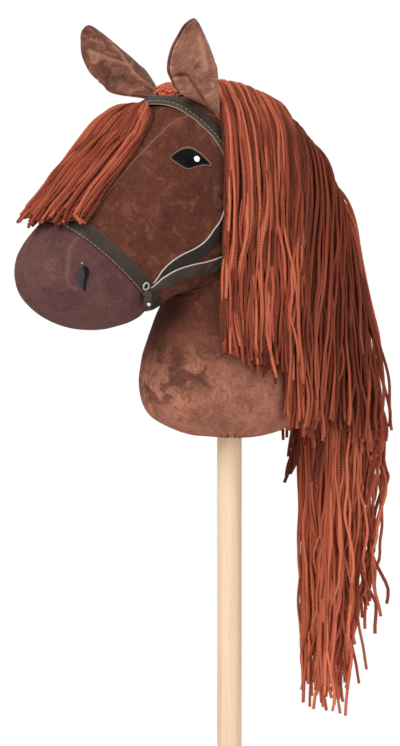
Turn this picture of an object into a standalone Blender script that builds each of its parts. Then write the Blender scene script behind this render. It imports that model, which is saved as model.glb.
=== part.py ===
"""Hobby horse: a stuffed plush head and neck that slides off a plain wooden pole.

Metres, +Z up. The origin is the centre of the pole's lower end. The horse looks
along -Y, and its left side is +X. Heights of the head are measured from the neck's
mouth, where the pole goes in.
"""
import math

import bmesh
import bpy
import numpy as np
from mathutils import Matrix, Vector
from mathutils.bvhtree import BVHTree

# Pole and the socket that it slides in
POLE_LENGTH = 0.728
POLE_RADIUS = 0.0125
POLE_ROUNDING = 0.003
POLE_INSERTION = 0.150
POLE_CLEARANCE = 0.0005
TUBE_WALL = 0.0018
TUBE_CAP = 0.0025

# Fabric, seams and the space between neighbours
GAP = 0.0003
COVER = 0.0016
FILLING_GAP = 0.0009
GUSSET_HALF_WIDTH = 0.038

# Straps of the bridle
NOSEBAND_WIDTH = 0.0150
NOSEBAND_EDGE = 0.0015
STRAP = 0.0016
HEADPIECE_WIDTH = 0.0130
LINING_WIDTH = 0.0165
LINING = 0.0007
CHEEK_STRAP_WIDTH = 0.0130
REIN_WIDTH = 0.0150
TAB_WIDTH = 0.0110
TAB_LENGTH = 0.0180
TAB = 0.0030
STUD_RADIUS = 0.0035
STUD_HEIGHT = 0.0020

# Eyes and nostrils
EYE_LENGTH = 0.0400
EYE_HEIGHT = 0.0205
EYE_BORDER = 0.0016
EYE_TILT = math.radians(-8)
HIGHLIGHT_RADIUS = 0.0030
FELT = 0.0008
NOSTRIL_LENGTH = 0.0210
NOSTRIL_HEIGHT = 0.0120

# Ears
EAR_HALF_WIDTH = 0.0395
EAR_CUP = 0.0131
EAR_FABRIC = 0.0020

# Yarn: the tape that it is sewn to and the space between two locks of it
TAPE_HALF_WIDTH = 0.0060
TAPE = 0.0020
YARN_GAP = 0.0008

# Cord that gathers the cover on the socket
TIE_RADIUS = 0.0015

# Resolution of the stuffed form and of the yarn, and how square their sections are
SIDES = 24
STEPS = 2
YARN_SIDES = 14
SQUARENESS = 2.4

# The stuffed form from the neck's mouth to the noseband. Each station is a closed
# section across the form: its point on the throat side, its point on the crest side
# (y, height) and its half width.
STATIONS = (
    ((-0.040, 0.0030), (0.040, 0.0030), 0.0320),
    ((-0.066, 0.0110), (0.064, 0.0110), 0.0470),
    ((-0.087, 0.0250), (0.081, 0.0250), 0.0585),
    ((-0.0955, 0.051), (0.0865, 0.051), 0.0635),
    ((-0.0925, 0.080), (0.0910, 0.084), 0.0625),
    ((-0.0810, 0.112), (0.0990, 0.127), 0.0600),
    ((-0.0685, 0.139), (0.1070, 0.174), 0.0580),
    ((-0.0645, 0.1465), (0.109, 0.224), 0.0570),
    ((-0.0665, 0.1465), (0.089, 0.282), 0.0575),
    ((-0.0710, 0.1440), (0.040, 0.328), 0.0595),
    ((-0.0765, 0.1410), (-0.020, 0.348), 0.0615),
    ((-0.0830, 0.1370), (-0.078, 0.344), 0.0615),
    ((-0.0900, 0.1335), (-0.128, 0.306), 0.0585),
    ((-0.0970, 0.1300), (-0.172, 0.262), 0.0535),
    ((-0.1045, 0.1280), (-0.2114, 0.219), 0.0495),
)
THROAT_STATION = 7
JAW_CUT = math.radians(40)
GUSSET_STATIONS = (9.5, 14)
TAPE_STATIONS = (3, 10.4)

# The muzzle in front of the noseband: distance from the noseband's plane, lower and
# upper reach along that plane, and half width
MUZZLE = (
    (0.012, -0.0675, 0.0705, 0.0520),
    (0.028, -0.0585, 0.0700, 0.0525),
    (0.043, -0.0470, 0.0665, 0.0490),
    (0.057, -0.0310, 0.0580, 0.0420),
    (0.067, -0.0120, 0.0450, 0.0300),
    (0.0715, 0.0050, 0.0280, 0.0140),
)
MUZZLE_TIP = (0.0725, 0.017)
MUZZLE_SPACE = (0.176, 0.176)
MUZZLE_DEPTH = 0.100

# Routes seen from the side (y, height above the mouth)
HEADPIECE_ROUTE = (
    (-0.1020, 0.362), (-0.0850, 0.346), (-0.0650, 0.330), (-0.0440, 0.313), (-0.0330, 0.291),
    (-0.0300, 0.268),
)
CHEEK_ROUTE = (
    (-0.0300, 0.268), (-0.0345, 0.238), (-0.0480, 0.214), (-0.0630, 0.198), (-0.0800, 0.187),
    (-0.0970, 0.176), (-0.1120, 0.160), (-0.1230, 0.142),
)
REIN_ROUTE = (
    (-0.1230, 0.142), (-0.1090, 0.156), (-0.0900, 0.164), (-0.0650, 0.170), (-0.0350, 0.175),
    (0.0000, 0.178), (0.0500, 0.182), (0.1000, 0.186), (0.1300, 0.188),
)
STRAP_SPLICE = 0.0020
TAB_PLACE = (-0.1160, 0.146)
TAB_TURN = math.radians(-62)
EYE_PLACE = (-0.0770, 0.2800)
HIGHLIGHT_OFFSET = (0.0065, 0.0015)
NOSTRIL_PLACE = (-0.2010, 0.1580)
NOSTRIL_TILT = math.radians(62)

# Ears: the sewn root of the left one behind the headpiece, from front to rear, the ends
# of its middle line (x, y, height) and the direction of its rear edge. The shape gives
# shares along the middle line, of the half width in front and behind, and of the cup.
EAR_ROOT = ((0.0200, -0.0600, 0.337), (0.0350, -0.0480, 0.329), (0.0450, -0.0360, 0.315))
EAR_BASE = (0.0429, -0.0589, 0.3252)
EAR_TIP = (0.1078, -0.1061, 0.4193)
EAR_BACK = (-0.055, 1.0, 0.119)
EAR_LINING_SHARE = 0.90
EAR_LINING_GAP = 0.0010
EAR_COLUMNS = 6
EAR_SHAPE = (
    (0.36, 0.62, 0.60, 0.86), (0.48, 0.73, 0.55, 0.72), (0.62, 0.76, 0.46, 0.50),
    (0.80, 0.65, 0.31, 0.25), (0.92, 0.41, 0.19, 0.10), (1.00, 0.10, 0.06, 0.00),
)

# Yarn: sections of the crest and the hanging mane, and of the forelock, as the point
# on the inner side, the point on the outer side (y, height) and the half width
MANE_BACK = (
    ((-0.030, 0.335), (-0.034, 0.357), 0.0120),
    ((-0.006, 0.335), (-0.009, 0.364), 0.0240),
    ((0.030, 0.315), (0.038, 0.345), 0.0300),
    ((0.060, 0.290), (0.075, 0.318), 0.0340),
    ((0.085, 0.250), (0.110, 0.272), 0.0360),
    ((0.092, 0.200), (0.136, 0.214), 0.0380),
    ((0.094, 0.150), (0.151, 0.156), 0.0420),
    ((0.090, 0.100), (0.158, 0.100), 0.0460),
    ((0.085, 0.050), (0.167, 0.045), 0.0500),
    ((0.085, 0.000), (0.176, -0.010), 0.0510),
    ((0.085, -0.050), (0.181, -0.055), 0.0490),
    ((0.086, -0.110), (0.172, -0.110), 0.0450),
    ((0.086, -0.180), (0.166, -0.180), 0.0420),
    ((0.089, -0.235), (0.150, -0.235), 0.0350),
    ((0.098, -0.268), (0.128, -0.268), 0.0180),
)
FORELOCK = (
    ((-0.040, 0.334), (-0.040, 0.355), 0.0110),
    ((-0.070, 0.332), (-0.075, 0.361), 0.0170),
    ((-0.095, 0.313), (-0.115, 0.347), 0.0260),
    ((-0.125, 0.285), (-0.154, 0.319), 0.0340),
    ((-0.155, 0.255), (-0.187, 0.285), 0.0400),
    ((-0.180, 0.230), (-0.214, 0.256), 0.0440),
    ((-0.198, 0.213), (-0.226, 0.235), 0.0400),
)
SIDE_MANE_OUTLINE = (
    (-0.022, 0.380), (-0.028, 0.330), (-0.040, 0.285), (-0.045, 0.220), (-0.044, 0.105),
    (-0.036, 0.090), (-0.024, 0.078), (-0.012, 0.066), (0.002, 0.048), (0.018, 0.040),
    (0.035, 0.020), (0.055, 0.030), (0.075, 0.020), (0.088, 0.060), (0.150, 0.130),
    (0.150, 0.300), (0.050, 0.380),
)
SIDE_MANE_SECTIONS = (
    ((-0.080, -0.010), (0.100, -0.010), 0.0700),
    ((-0.100, 0.030), (0.104, 0.030), 0.0770),
    ((-0.110, 0.075), (0.106, 0.075), 0.0780),
    ((-0.110, 0.130), (0.115, 0.130), 0.0760),
    ((-0.110, 0.200), (0.123, 0.200), 0.0725),
    ((-0.120, 0.260), (0.113, 0.260), 0.0720),
    ((-0.120, 0.300), (0.090, 0.300), 0.0680),
    ((-0.110, 0.330), (0.060, 0.330), 0.0540),
    ((-0.090, 0.352), (0.025, 0.352), 0.0300),
)

# Sizes that follow from those above
MOUTH = POLE_LENGTH - POLE_INSERTION
TUBE_INNER = POLE_RADIUS + POLE_CLEARANCE
TUBE_OUTER = TUBE_INNER + TUBE_WALL
TUBE_TOP = POLE_LENGTH + GAP
FELT_LOW = GAP
PUPIL_LOW = FELT_LOW + FELT + GAP
HIGHLIGHT_LOW = PUPIL_LOW + FELT + GAP
HEADPIECE_LOW = GAP + LINING + GAP
HEADPIECE_TOP = HEADPIECE_LOW + LINING + GAP
TAPE_TOP = GAP + TAPE
STRAP_TOP = GAP + STRAP
YARN_LOW = max(TAPE_TOP, HEADPIECE_TOP, STRAP_TOP) + GAP
REIN_LOW = YARN_LOW
TAB_LOW = STRAP_TOP + GAP
TIE_HEIGHT = MOUTH + COVER + 4 * GAP + TIE_RADIUS

# How far a cutter passes beyond the form, and how much of the surface is taken on each
# side of an applied piece before it is cut to its outline
REACH = 0.6
SURFACE_REACH = 0.045
CREST_REACH = 0.030
CREST_CUT = (0.55, 1.35)
CREST_COUNT = 12

for thing in list(bpy.data.objects):
    bpy.data.objects.remove(thing, do_unlink=True)

PARTS = bpy.data.collections.new("hobby_horse")
CUTTERS = bpy.data.collections.new("cutters")
for group in (PARTS, CUTTERS):
    bpy.context.scene.collection.children.link(group)


def material(name, colour, roughness, metallic=0.0):
    """A Principled BSDF of one colour."""
    finish = bpy.data.materials.new(name)
    finish.use_nodes = True
    shader = finish.node_tree.nodes["Principled BSDF"]
    shader.inputs["Base Color"].default_value = (*colour, 1.0)
    shader.inputs["Roughness"].default_value = roughness
    shader.inputs["Metallic"].default_value = metallic
    return finish


PLUSH = (0.18, 0.065, 0.040)
SUEDE = (0.115, 0.048, 0.045)
LEATHER = (0.050, 0.034, 0.027)
YARN = (0.45, 0.10, 0.035)
BEECH = (0.80, 0.62, 0.42)


def place(obj, colour, roughness, metallic=0.0):
    """Give a finished part its own material and shade it smooth."""
    obj.data.materials.clear()
    obj.data.materials.append(material(obj.name, colour, roughness, metallic))
    obj.data.shade_smooth()
    obj.data.set_sharp_from_angle(angle=math.radians(40))
    return obj


def part(name, mesh, colour, roughness, metallic=0.0):
    """A named sub-part from a mesh."""
    obj = bpy.data.objects.new(name, mesh)
    PARTS.objects.link(obj)
    return place(obj, colour, roughness, metallic)


def cutter(name, mesh):
    """A hidden wire object that only cuts others."""
    obj = bpy.data.objects.new(name, mesh)
    CUTTERS.objects.link(obj)
    obj.hide_render = True
    obj.display_type = "WIRE"
    return obj


def to_mesh(name, bm):
    """Write a bmesh to a new mesh and free it."""
    mesh = bpy.data.meshes.new(name)
    bm.to_mesh(mesh)
    bm.free()
    return mesh


def boolean(obj, other, operation, solver="EXACT"):
    """Cut, keep or join with another object."""
    step = obj.modifiers.new(f"{operation.lower()}_{other.name}", "BOOLEAN")
    step.object = other
    step.operation = operation
    step.solver = solver
    return obj


def solidify(obj, thickness, offset):
    """Turn an open surface into a shell of even thickness."""
    step = obj.modifiers.new("shell", "SOLIDIFY")
    step.thickness = thickness
    step.offset = offset
    step.use_even_offset = True
    return obj


def curve_through(keys, steps):
    """Rows of a smooth curve through the keys, with so many steps between two of them."""
    keys = np.asarray(keys, dtype=float)
    ends = np.vstack([2 * keys[0] - keys[1], keys, 2 * keys[-1] - keys[-2]])
    rows = []
    for i in range(len(keys) - 1):
        a, b, c, d = ends[i : i + 4]
        for k in range(steps):
            t = k / steps
            rows.append(
                0.5 * (2 * b + (c - a) * t + (2 * a - 5 * b + 4 * c - d) * t**2
                       + (3 * b - a - 3 * c + d) * t**3)
            )
    rows.append(keys[-1])
    return np.array(rows)


def noseband_frame():
    """Centre of the last station, its direction upwards and its direction to the muzzle."""
    low, high, _ = STATIONS[-1]
    low = Vector((0.0, low[0], low[1] + MOUTH))
    high = Vector((0.0, high[0], high[1] + MOUTH))
    up = (high - low).normalized()
    forward = Vector((0.0, -up.z, up.y))
    return (low + high) / 2, up, forward


def station(index):
    """Throat point, crest point and half width at a station, also between two of them."""
    lower = min(int(index), len(STATIONS) - 2)
    share = index - lower
    low, high = (np.hstack(STATIONS[i]) for i in (lower, lower + 1))
    row = low * (1 - share) + high * share
    return Vector((0, row[0], row[1] + MOUTH)), Vector((0, row[2], row[3] + MOUTH)), row[4]


def sections():
    """Every section of the stuffed form, from the mouth to the muzzle: low, high, width."""
    rows = [np.hstack(s) for s in STATIONS]
    rows = curve_through(rows, STEPS)
    rows[:, [1, 3]] += MOUTH
    mouth = TUBE_OUTER * 0.8
    found = [(Vector((0, -mouth, MOUTH)), Vector((0, mouth, MOUTH)), mouth)]
    for row in rows:
        found.append((Vector((0, row[0], row[1])), Vector((0, row[2], row[3])), row[4]))
    centre, up, forward = noseband_frame()
    for reach, low, high, width in MUZZLE:
        base = centre + forward * reach
        found.append((base + up * low, base + up * high, width))
    return found


def ring(bm, low, high, width, sides, squareness=2.0):
    """Vertices of a rounded section between two points, symmetric about X = 0."""
    centre = (low + high) / 2
    half = (high - low) / 2
    power = 2 / squareness
    verts = []
    for k in range(sides):
        angle = 2 * math.pi * k / sides
        side, along = math.sin(angle), math.cos(angle)
        across = math.copysign(abs(side) ** power, side) * width
        reach = -math.copysign(abs(along) ** power, along)
        verts.append(bm.verts.new(centre + half * reach + Vector((across, 0, 0))))
    return verts


def loft(bm, rings):
    """Join neighbouring rings with faces."""
    for first, second in zip(rings, rings[1:]):
        count = len(first)
        for k in range(count):
            nxt = (k + 1) % count
            bm.faces.new((first[k], first[nxt], second[nxt], second[k]))


def raise_surface(bm, lift):
    """Move a surface along its own normals by a distance."""
    moves = [v.normal * (lift * v.calc_shell_factor()) for v in bm.verts]
    for vert, move in zip(bm.verts, moves):
        vert.co += move


def skin(lift=0.0, close_mouth=False):
    """The stuffed form's surface, lifted outwards by a distance, as a bmesh."""
    bm = bmesh.new()
    rings = [ring(bm, *s, SIDES, SQUARENESS) for s in sections()]
    loft(bm, rings)
    centre, up, forward = noseband_frame()
    tip = bm.verts.new(centre + forward * MUZZLE_TIP[0] + up * MUZZLE_TIP[1])
    last = rings[-1]
    for k in range(SIDES):
        bm.faces.new((last[k], last[(k + 1) % SIDES], tip))
    if close_mouth:
        bm.faces.new(list(reversed(rings[0])))
    bmesh.ops.recalc_face_normals(bm, faces=bm.faces)
    bm.normal_update()
    if tip.normal.dot(forward) < 0:
        bmesh.ops.reverse_faces(bm, faces=bm.faces)
        bm.normal_update()
    raise_surface(bm, lift)
    return bm


def half_space(name, point, normal):
    """A large box whose near face passes through the point, on the normal's side."""
    bm = bmesh.new()
    bmesh.ops.create_cube(bm, size=2 * REACH)
    turn = normal.to_track_quat("Z", "X").to_matrix().to_4x4()
    bm.transform(Matrix.Translation(point + normal * REACH) @ turn)
    return cutter(name, to_mesh(name, bm))


def oriented_box(name, middle, along, size):
    """A box cutter of a given size whose third side lies along a direction."""
    bm = bmesh.new()
    bmesh.ops.create_cube(bm, size=1.0)
    turn = along.to_track_quat("Z", "X").to_matrix().to_4x4()
    bm.transform(Matrix.Translation(middle) @ turn @ Matrix.Diagonal((*size, 1)))
    return cutter(name, to_mesh(name, bm))


def muzzle_block(name, shift):
    """The space of the muzzle in front of the noseband's plane, clear of the neck."""
    centre, _, forward = noseband_frame()
    middle = centre + forward * (shift + MUZZLE_DEPTH / 2)
    return oriented_box(name, middle, forward, (*MUZZLE_SPACE, MUZZLE_DEPTH))


def head_block(name, shift):
    """The space of the head, above a cut from the crest to the throat and out below the jaw."""
    low, high, _ = station(THROAT_STATION)
    up = (high - low).normalized()
    headward = Vector((0.0, -up.z, up.y))
    throat = low + headward * shift
    crest = throat + up * REACH
    jaw = throat + Vector((0.0, -math.sin(JAW_CUT), -math.cos(JAW_CUT))) * REACH
    away = headward * REACH
    outline = [(p.y, p.z) for p in (throat, crest, crest + away, jaw + away, jaw)]
    return extruded(name, outline, -REACH, REACH)


def extruded(name, outline, low, high):
    """A cutter whose outline is seen from the side (y, z), from one x to another."""
    bm = bmesh.new()
    face = bm.faces.new([bm.verts.new((low, y, z)) for y, z in outline])
    swept = bmesh.ops.extrude_face_region(bm, geom=[face])["geom"]
    moved = [g for g in swept if isinstance(g, bmesh.types.BMVert)]
    bmesh.ops.translate(bm, verts=moved, vec=(high - low, 0, 0))
    bmesh.ops.recalc_face_normals(bm, faces=bm.faces)
    return cutter(name, to_mesh(name, bm))


def band(name, route, width, low, high, end=0.0):
    """A cutter along a route seen from the side, as wide as the strap."""
    points = [Vector((y, z + MOUTH)) for y, z in curve_through(route, 3)]
    first = (points[0] - points[1]).normalized()
    last = (points[-1] - points[-2]).normalized()
    points[0] += first * end
    points[-1] += last * end
    bm = bmesh.new()
    rails = []
    for i, point in enumerate(points):
        before = points[max(i - 1, 0)]
        after = points[min(i + 1, len(points) - 1)]
        along = (after - before).normalized()
        across = Vector((-along.y, along.x)) * width / 2
        rails.append([bm.verts.new((low, *(point + across * s))) for s in (1, -1)])
    faces = [bm.faces.new((a[0], a[1], b[1], b[0])) for a, b in zip(rails, rails[1:])]
    swept = bmesh.ops.extrude_face_region(bm, geom=faces)["geom"]
    moved = [g for g in swept if isinstance(g, bmesh.types.BMVert)]
    bmesh.ops.translate(bm, verts=moved, vec=(high - low, 0, 0))
    bmesh.ops.recalc_face_normals(bm, faces=bm.faces)
    return cutter(name, to_mesh(name, bm))


def crest_block(name, first, last, half_width, grow=0.0):
    """A cutter over the crest side of the form between two stations, grown by a gap."""
    inner, outer = [], []
    for k in range(CREST_COUNT + 1):
        low, high, _ = station(first + (last - first) * k / CREST_COUNT)
        centre = (low + high) / 2
        inner.append(centre + (high - centre) * CREST_CUT[0])
        outer.append(centre + (high - centre) * CREST_CUT[1])
    for rail in (inner, outer):
        rail[0] += (rail[0] - rail[1]).normalized() * grow
        rail[-1] += (rail[-1] - rail[-2]).normalized() * grow
    bm = bmesh.new()
    wide = half_width + grow
    pairs = [[bm.verts.new((-wide, p.y, p.z)) for p in pair] for pair in zip(inner, outer)]
    faces = [bm.faces.new((a[0], a[1], b[1], b[0])) for a, b in zip(pairs, pairs[1:])]
    swept = bmesh.ops.extrude_face_region(bm, geom=faces)["geom"]
    moved = [g for g in swept if isinstance(g, bmesh.types.BMVert)]
    bmesh.ops.translate(bm, verts=moved, vec=(2 * wide, 0, 0))
    bmesh.ops.recalc_face_normals(bm, faces=bm.faces)
    return cutter(name, to_mesh(name, bm))


def patch(name, keep, low, high):
    """A mesh object: the stretch of the form's surface that is kept, as a shell."""
    bm = skin(low)
    away = [f for f in bm.faces if not keep(f.calc_center_median())]
    bmesh.ops.delete(bm, geom=away, context="FACES")
    obj = bpy.data.objects.new(name, to_mesh(name, bm))
    return solidify(obj, high - low, 1.0)


def applied(name, shape, cutters, colour, roughness, metallic=0.0):
    """A sub-part: a shell on the form, kept where the cutters are."""
    shape.name = name
    PARTS.objects.link(shape)
    for tool in cutters:
        boolean(shape, tool, "INTERSECT")
    return place(shape, colour, roughness, metallic)


def surface_hit(tree, y, height):
    """Where a line along X meets the form's left side: the point and the outward normal."""
    point, normal, _, _ = tree.ray_cast(Vector((REACH, y, height + MOUTH)), Vector((-1, 0, 0)))
    return point, normal


def near_route(route, reach, left=False):
    """A test for points within reach of a route seen from the side."""
    rows = curve_through(route, 6)

    def keep(point):
        if left and point.x < 0:
            return False
        spans = np.hypot(rows[:, 0] - point.y, rows[:, 1] + MOUTH - point.z)
        return spans.min() < reach

    return keep


def near_point(place_yz, reach):
    """A test for points within reach of a place on the form's left side."""

    def keep(point):
        span = math.hypot(point.y - place_yz[0], point.z - MOUTH - place_yz[1])
        return point.x > 0 and span < reach

    return keep


def pole():
    """Turned dowel with rounded ends."""
    corner = [
        (POLE_RADIUS - POLE_ROUNDING * (1 - math.sin(a)), POLE_ROUNDING * (1 - math.cos(a)))
        for a in np.radians((0, 30, 60, 90))
    ]
    profile = [(0.0, POLE_LENGTH)]
    profile += [(r, POLE_LENGTH - z) for r, z in corner]
    profile += [(r, z) for r, z in reversed(corner)]
    profile += [(0.0, 0.0)]
    return place(turned("pole", profile, 32), BEECH, 0.5)


def turned(name, profile, steps, location=(0, 0, 0)):
    """A part turned about its own Z from a profile (radius, height) with a Screw."""
    bm = bmesh.new()
    verts = [bm.verts.new((r, 0, z)) for r, z in profile]
    for a, b in zip(verts, verts[1:]):
        bm.edges.new((a, b))
    obj = bpy.data.objects.new(name, to_mesh(name, bm))
    PARTS.objects.link(obj)
    obj.location = location
    step = obj.modifiers.new("turn", "SCREW")
    step.steps = steps
    step.render_steps = steps
    step.use_merge_vertices = True
    step.merge_threshold = 0.00001
    return obj


def socket_tube():
    """Plastic tube that the pole slides into, closed at the top."""
    top = TUBE_TOP + TUBE_CAP
    profile = [
        (0.0, top), (TUBE_OUTER, top), (TUBE_OUTER, MOUTH), (TUBE_INNER, MOUTH),
        (TUBE_INNER, TUBE_TOP), (0.0, TUBE_TOP),
    ]
    return place(turned("socket_tube", profile, 32), (0.75, 0.75, 0.73), 0.5)


def upright_cylinder(name, radius, low, top):
    """A cylinder cutter about the pole's axis."""
    bm = bmesh.new()
    bmesh.ops.create_cone(
        bm, cap_ends=True, segments=32, radius1=radius, radius2=radius, depth=top - low
    )
    bm.transform(Matrix.Translation((0, 0, (top + low) / 2)))
    return cutter(name, to_mesh(name, bm))


class Cuts:
    """The planes and blocks that part one piece of the form from the next."""

    def __init__(self):
        half = GAP / 2
        self.muzzle = muzzle_block("muzzle_block", half)
        self.around_muzzle = muzzle_block("around_muzzle", -half)
        self.head = head_block("head_block", half)
        self.around_head = head_block("around_head", -half)
        self.right = half_space("right_side", Vector((half, 0, MOUTH)), Vector((-1, 0, 0)))
        self.gusset = crest_block("gusset_block", *GUSSET_STATIONS, GUSSET_HALF_WIDTH)
        self.around_gusset = crest_block(
            "around_gusset", *GUSSET_STATIONS, GUSSET_HALF_WIDTH, GAP
        )
        self.tape = crest_block("tape_block", *TAPE_STATIONS, TAPE_HALF_WIDTH)
        below = MOUTH - 0.02
        clear = TUBE_OUTER + GAP
        self.mouth = upright_cylinder("around_tube", clear, below, TUBE_TOP + TUBE_CAP + GAP)
        self.tie = upright_cylinder(
            "around_tie", clear + 2 * TIE_RADIUS + GAP, below, TIE_HEIGHT + TIE_RADIUS + GAP
        )


def covers(cuts):
    """Sewn fabric: two side panels, the forehead gusset and two halves of the muzzle."""
    panel = part("side_panel_left", to_mesh("skin", skin()), PLUSH, 0.9)
    solidify(panel, COVER, -1.0)
    for away in (cuts.around_muzzle, cuts.around_gusset, cuts.right, cuts.mouth):
        boolean(panel, away, "DIFFERENCE")
    muzzle = part("muzzle_panel_left", to_mesh("skin", skin()), SUEDE, 0.85)
    solidify(muzzle, COVER, -1.0)
    boolean(muzzle, cuts.muzzle, "INTERSECT")
    boolean(muzzle, cuts.right, "DIFFERENCE")
    gusset = part("forehead_gusset", to_mesh("skin", skin()), PLUSH, 0.9)
    solidify(gusset, COVER, -1.0)
    boolean(gusset, cuts.gusset, "INTERSECT")
    boolean(gusset, cuts.around_muzzle, "DIFFERENCE")


def stuffing(cuts):
    """The fibre filling in three wads: neck, head and muzzle."""
    inside = -(COVER + FILLING_GAP)
    wads = (
        (
            "neck_stuffing",
            tuple((tool, "DIFFERENCE") for tool in (cuts.around_head, cuts.mouth, cuts.tie)),
        ),
        ("head_stuffing", ((cuts.head, "INTERSECT"), (cuts.around_muzzle, "DIFFERENCE"))),
        ("muzzle_stuffing", ((cuts.muzzle, "INTERSECT"),)),
    )
    for name, steps in wads:
        wad = part(name, to_mesh(name, skin(inside, close_mouth=True)), (0.8, 0.8, 0.78), 1.0)
        for tool, operation in steps:
            boolean(wad, tool, operation)


def noseband():
    """The strap round the muzzle's seam."""
    centre, up, forward = noseband_frame()
    back = -(NOSEBAND_EDGE + NOSEBAND_WIDTH)
    middle = centre + forward * (back + NOSEBAND_WIDTH / 2)
    slab = oriented_box("noseband_slab", middle, forward, (*MUZZLE_SPACE, NOSEBAND_WIDTH))

    def keep(point):
        offset = point - middle
        return abs(offset.dot(forward)) < SURFACE_REACH and offset.dot(up) > -MUZZLE_SPACE[0] / 2

    return applied(
        "noseband", patch("noseband", keep, GAP, STRAP_TOP), (slab,), LEATHER, 0.55
    )


def behind_noseband():
    """The half space in front of the noseband's rear edge, to trim the other straps."""
    centre, _, forward = noseband_frame()
    edge = centre - forward * (NOSEBAND_EDGE + NOSEBAND_WIDTH + GAP)
    return half_space("noseband_rear", edge, forward)


def strap_space(name, route, width, top):
    """A cutter that clears a strap of the bridle, from the form's surface outwards."""
    shape = patch(name, near_route(route, SURFACE_REACH), 0.0, top + GAP)
    CUTTERS.objects.link(shape)
    shape.hide_render = True
    shape.display_type = "WIRE"
    tool = band(f"{name}_band", route, width + 2 * GAP, -REACH, REACH)
    return boolean(shape, tool, "INTERSECT")


def straps(trim):
    """Headpiece with its lining, a cheek strap on each side and the neck strap."""
    head_keep = near_route(HEADPIECE_ROUTE, SURFACE_REACH)
    for name, width, low, thick in (
        ("headpiece_lining", LINING_WIDTH, GAP, LINING),
        ("headpiece", HEADPIECE_WIDTH, HEADPIECE_LOW, LINING),
    ):
        tool = band(f"{name}_band", HEADPIECE_ROUTE, width, -REACH, REACH)
        applied(name, patch(name, head_keep, low, low + thick), (tool,), LEATHER, 0.55)
    tool = band("cheek_band", CHEEK_ROUTE, CHEEK_STRAP_WIDTH, 0.0, REACH, -STRAP_SPLICE)
    cheek_keep = near_route(CHEEK_ROUTE, SURFACE_REACH, left=True)
    shape = patch("cheek_strap", cheek_keep, GAP, STRAP_TOP)
    strap = applied("cheek_strap_left", shape, (tool,), LEATHER, 0.55)
    boolean(strap, trim, "DIFFERENCE")
    shape = patch("rein", near_route(REIN_ROUTE, SURFACE_REACH), REIN_LOW, REIN_LOW + STRAP)
    tool = band("rein_band", REIN_ROUTE, REIN_WIDTH, -REACH, REACH)
    rein = applied("rein", shape, (tool,), LEATHER, 0.55)
    boolean(rein, trim, "DIFFERENCE")


def outline_prism(name, outline, centre_yz, turn):
    """A cutter along X from an outline about a place seen from the side."""
    cos, sin = math.cos(turn), math.sin(turn)
    points = []
    for a, b in outline:
        points.append((centre_yz[0] + a * cos - b * sin, centre_yz[1] + MOUTH + a * sin + b * cos))
    return extruded(name, points, 0.0, REACH)


def almond(length, height, count=16):
    """Outline of an eye: pointed at both ends, fuller above than below."""
    points = []
    for k in range(count):
        angle = 2 * math.pi * k / count
        along = math.cos(angle)
        swell = math.copysign(abs(math.sin(angle)) ** 1.35, math.sin(angle))
        share = 0.56 if swell > 0 else 0.44
        points.append((along * length / 2, swell * height * share))
    return points


def disc(radius, count=12):
    """Outline of a circle."""
    angles = [2 * math.pi * k / count for k in range(count)]
    return [(radius * math.cos(a), radius * math.sin(a)) for a in angles]


def rounded_tab(length, width, corner=0.35, steps=4):
    """Outline of a rectangle with round corners."""
    radius = width * corner
    points = []
    for cx, cy, start in ((1, 1, 0), (-1, 1, 90), (-1, -1, 180), (1, -1, 270)):
        for k in range(steps):
            angle = math.radians(start + 90 * k / (steps - 1))
            points.append((
                cx * (length / 2 - radius) + radius * math.cos(angle),
                cy * (width / 2 - radius) + radius * math.sin(angle),
            ))
    return points


def crescent(length, height, count=9):
    """Outline of a nostril: a drop that curves round to its narrow end."""
    upper = []
    lower = []
    for k in range(count):
        t = k / (count - 1)
        along = (t - 0.5) * length
        half = 0.5 * height * math.sin(math.pi * t**0.7) ** 0.8 if 0 < t < 1 else 0.0
        bend = 0.18 * height * math.cos(math.pi * t)
        upper.append((along, bend + half))
        if half > 0:
            lower.append((along, bend - half))
    return upper + list(reversed(lower))


def face_details():
    """Eye, nostril and strap tab on the left side."""
    border_outline = almond(EYE_LENGTH + 2 * EYE_BORDER, EYE_HEIGHT + 2 * EYE_BORDER)
    border = outline_prism("eye_border_prism", border_outline, EYE_PLACE, EYE_TILT)
    pupil = outline_prism("eye_prism", almond(EYE_LENGTH, EYE_HEIGHT), EYE_PLACE, EYE_TILT)
    glint_place = (EYE_PLACE[0] + HIGHLIGHT_OFFSET[0], EYE_PLACE[1] + HIGHLIGHT_OFFSET[1])
    glint = outline_prism("highlight_prism", disc(HIGHLIGHT_RADIUS), glint_place, 0.0)
    near_eye = near_point(EYE_PLACE, SURFACE_REACH)
    for name, tool, low, colour, rough in (
        ("eye_border_left", border, FELT_LOW, (0.25, 0.13, 0.09), 0.7),
        ("eye_left", pupil, PUPIL_LOW, (0.01, 0.01, 0.012), 0.35),
        ("eye_highlight_left", glint, HIGHLIGHT_LOW, (0.9, 0.9, 0.9), 0.4),
    ):
        applied(name, patch(name, near_eye, low, low + FELT), (tool,), colour, rough)
    drop = outline_prism(
        "nostril_prism", crescent(NOSTRIL_LENGTH, NOSTRIL_HEIGHT), NOSTRIL_PLACE, NOSTRIL_TILT
    )
    near_nostril = near_point(NOSTRIL_PLACE, SURFACE_REACH)
    felt = patch("nostril", near_nostril, FELT_LOW, FELT_LOW + FELT)
    applied("nostril_left", felt, (drop,), (0.06, 0.055, 0.058), 0.6)
    tab = outline_prism("tab_prism", rounded_tab(TAB_LENGTH, TAB_WIDTH), TAB_PLACE, TAB_TURN)
    fold = patch("strap_tab", near_point(TAB_PLACE, SURFACE_REACH), TAB_LOW, TAB_LOW + TAB)
    applied("strap_tab_left", fold, (tab,), LEATHER, 0.55)


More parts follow.
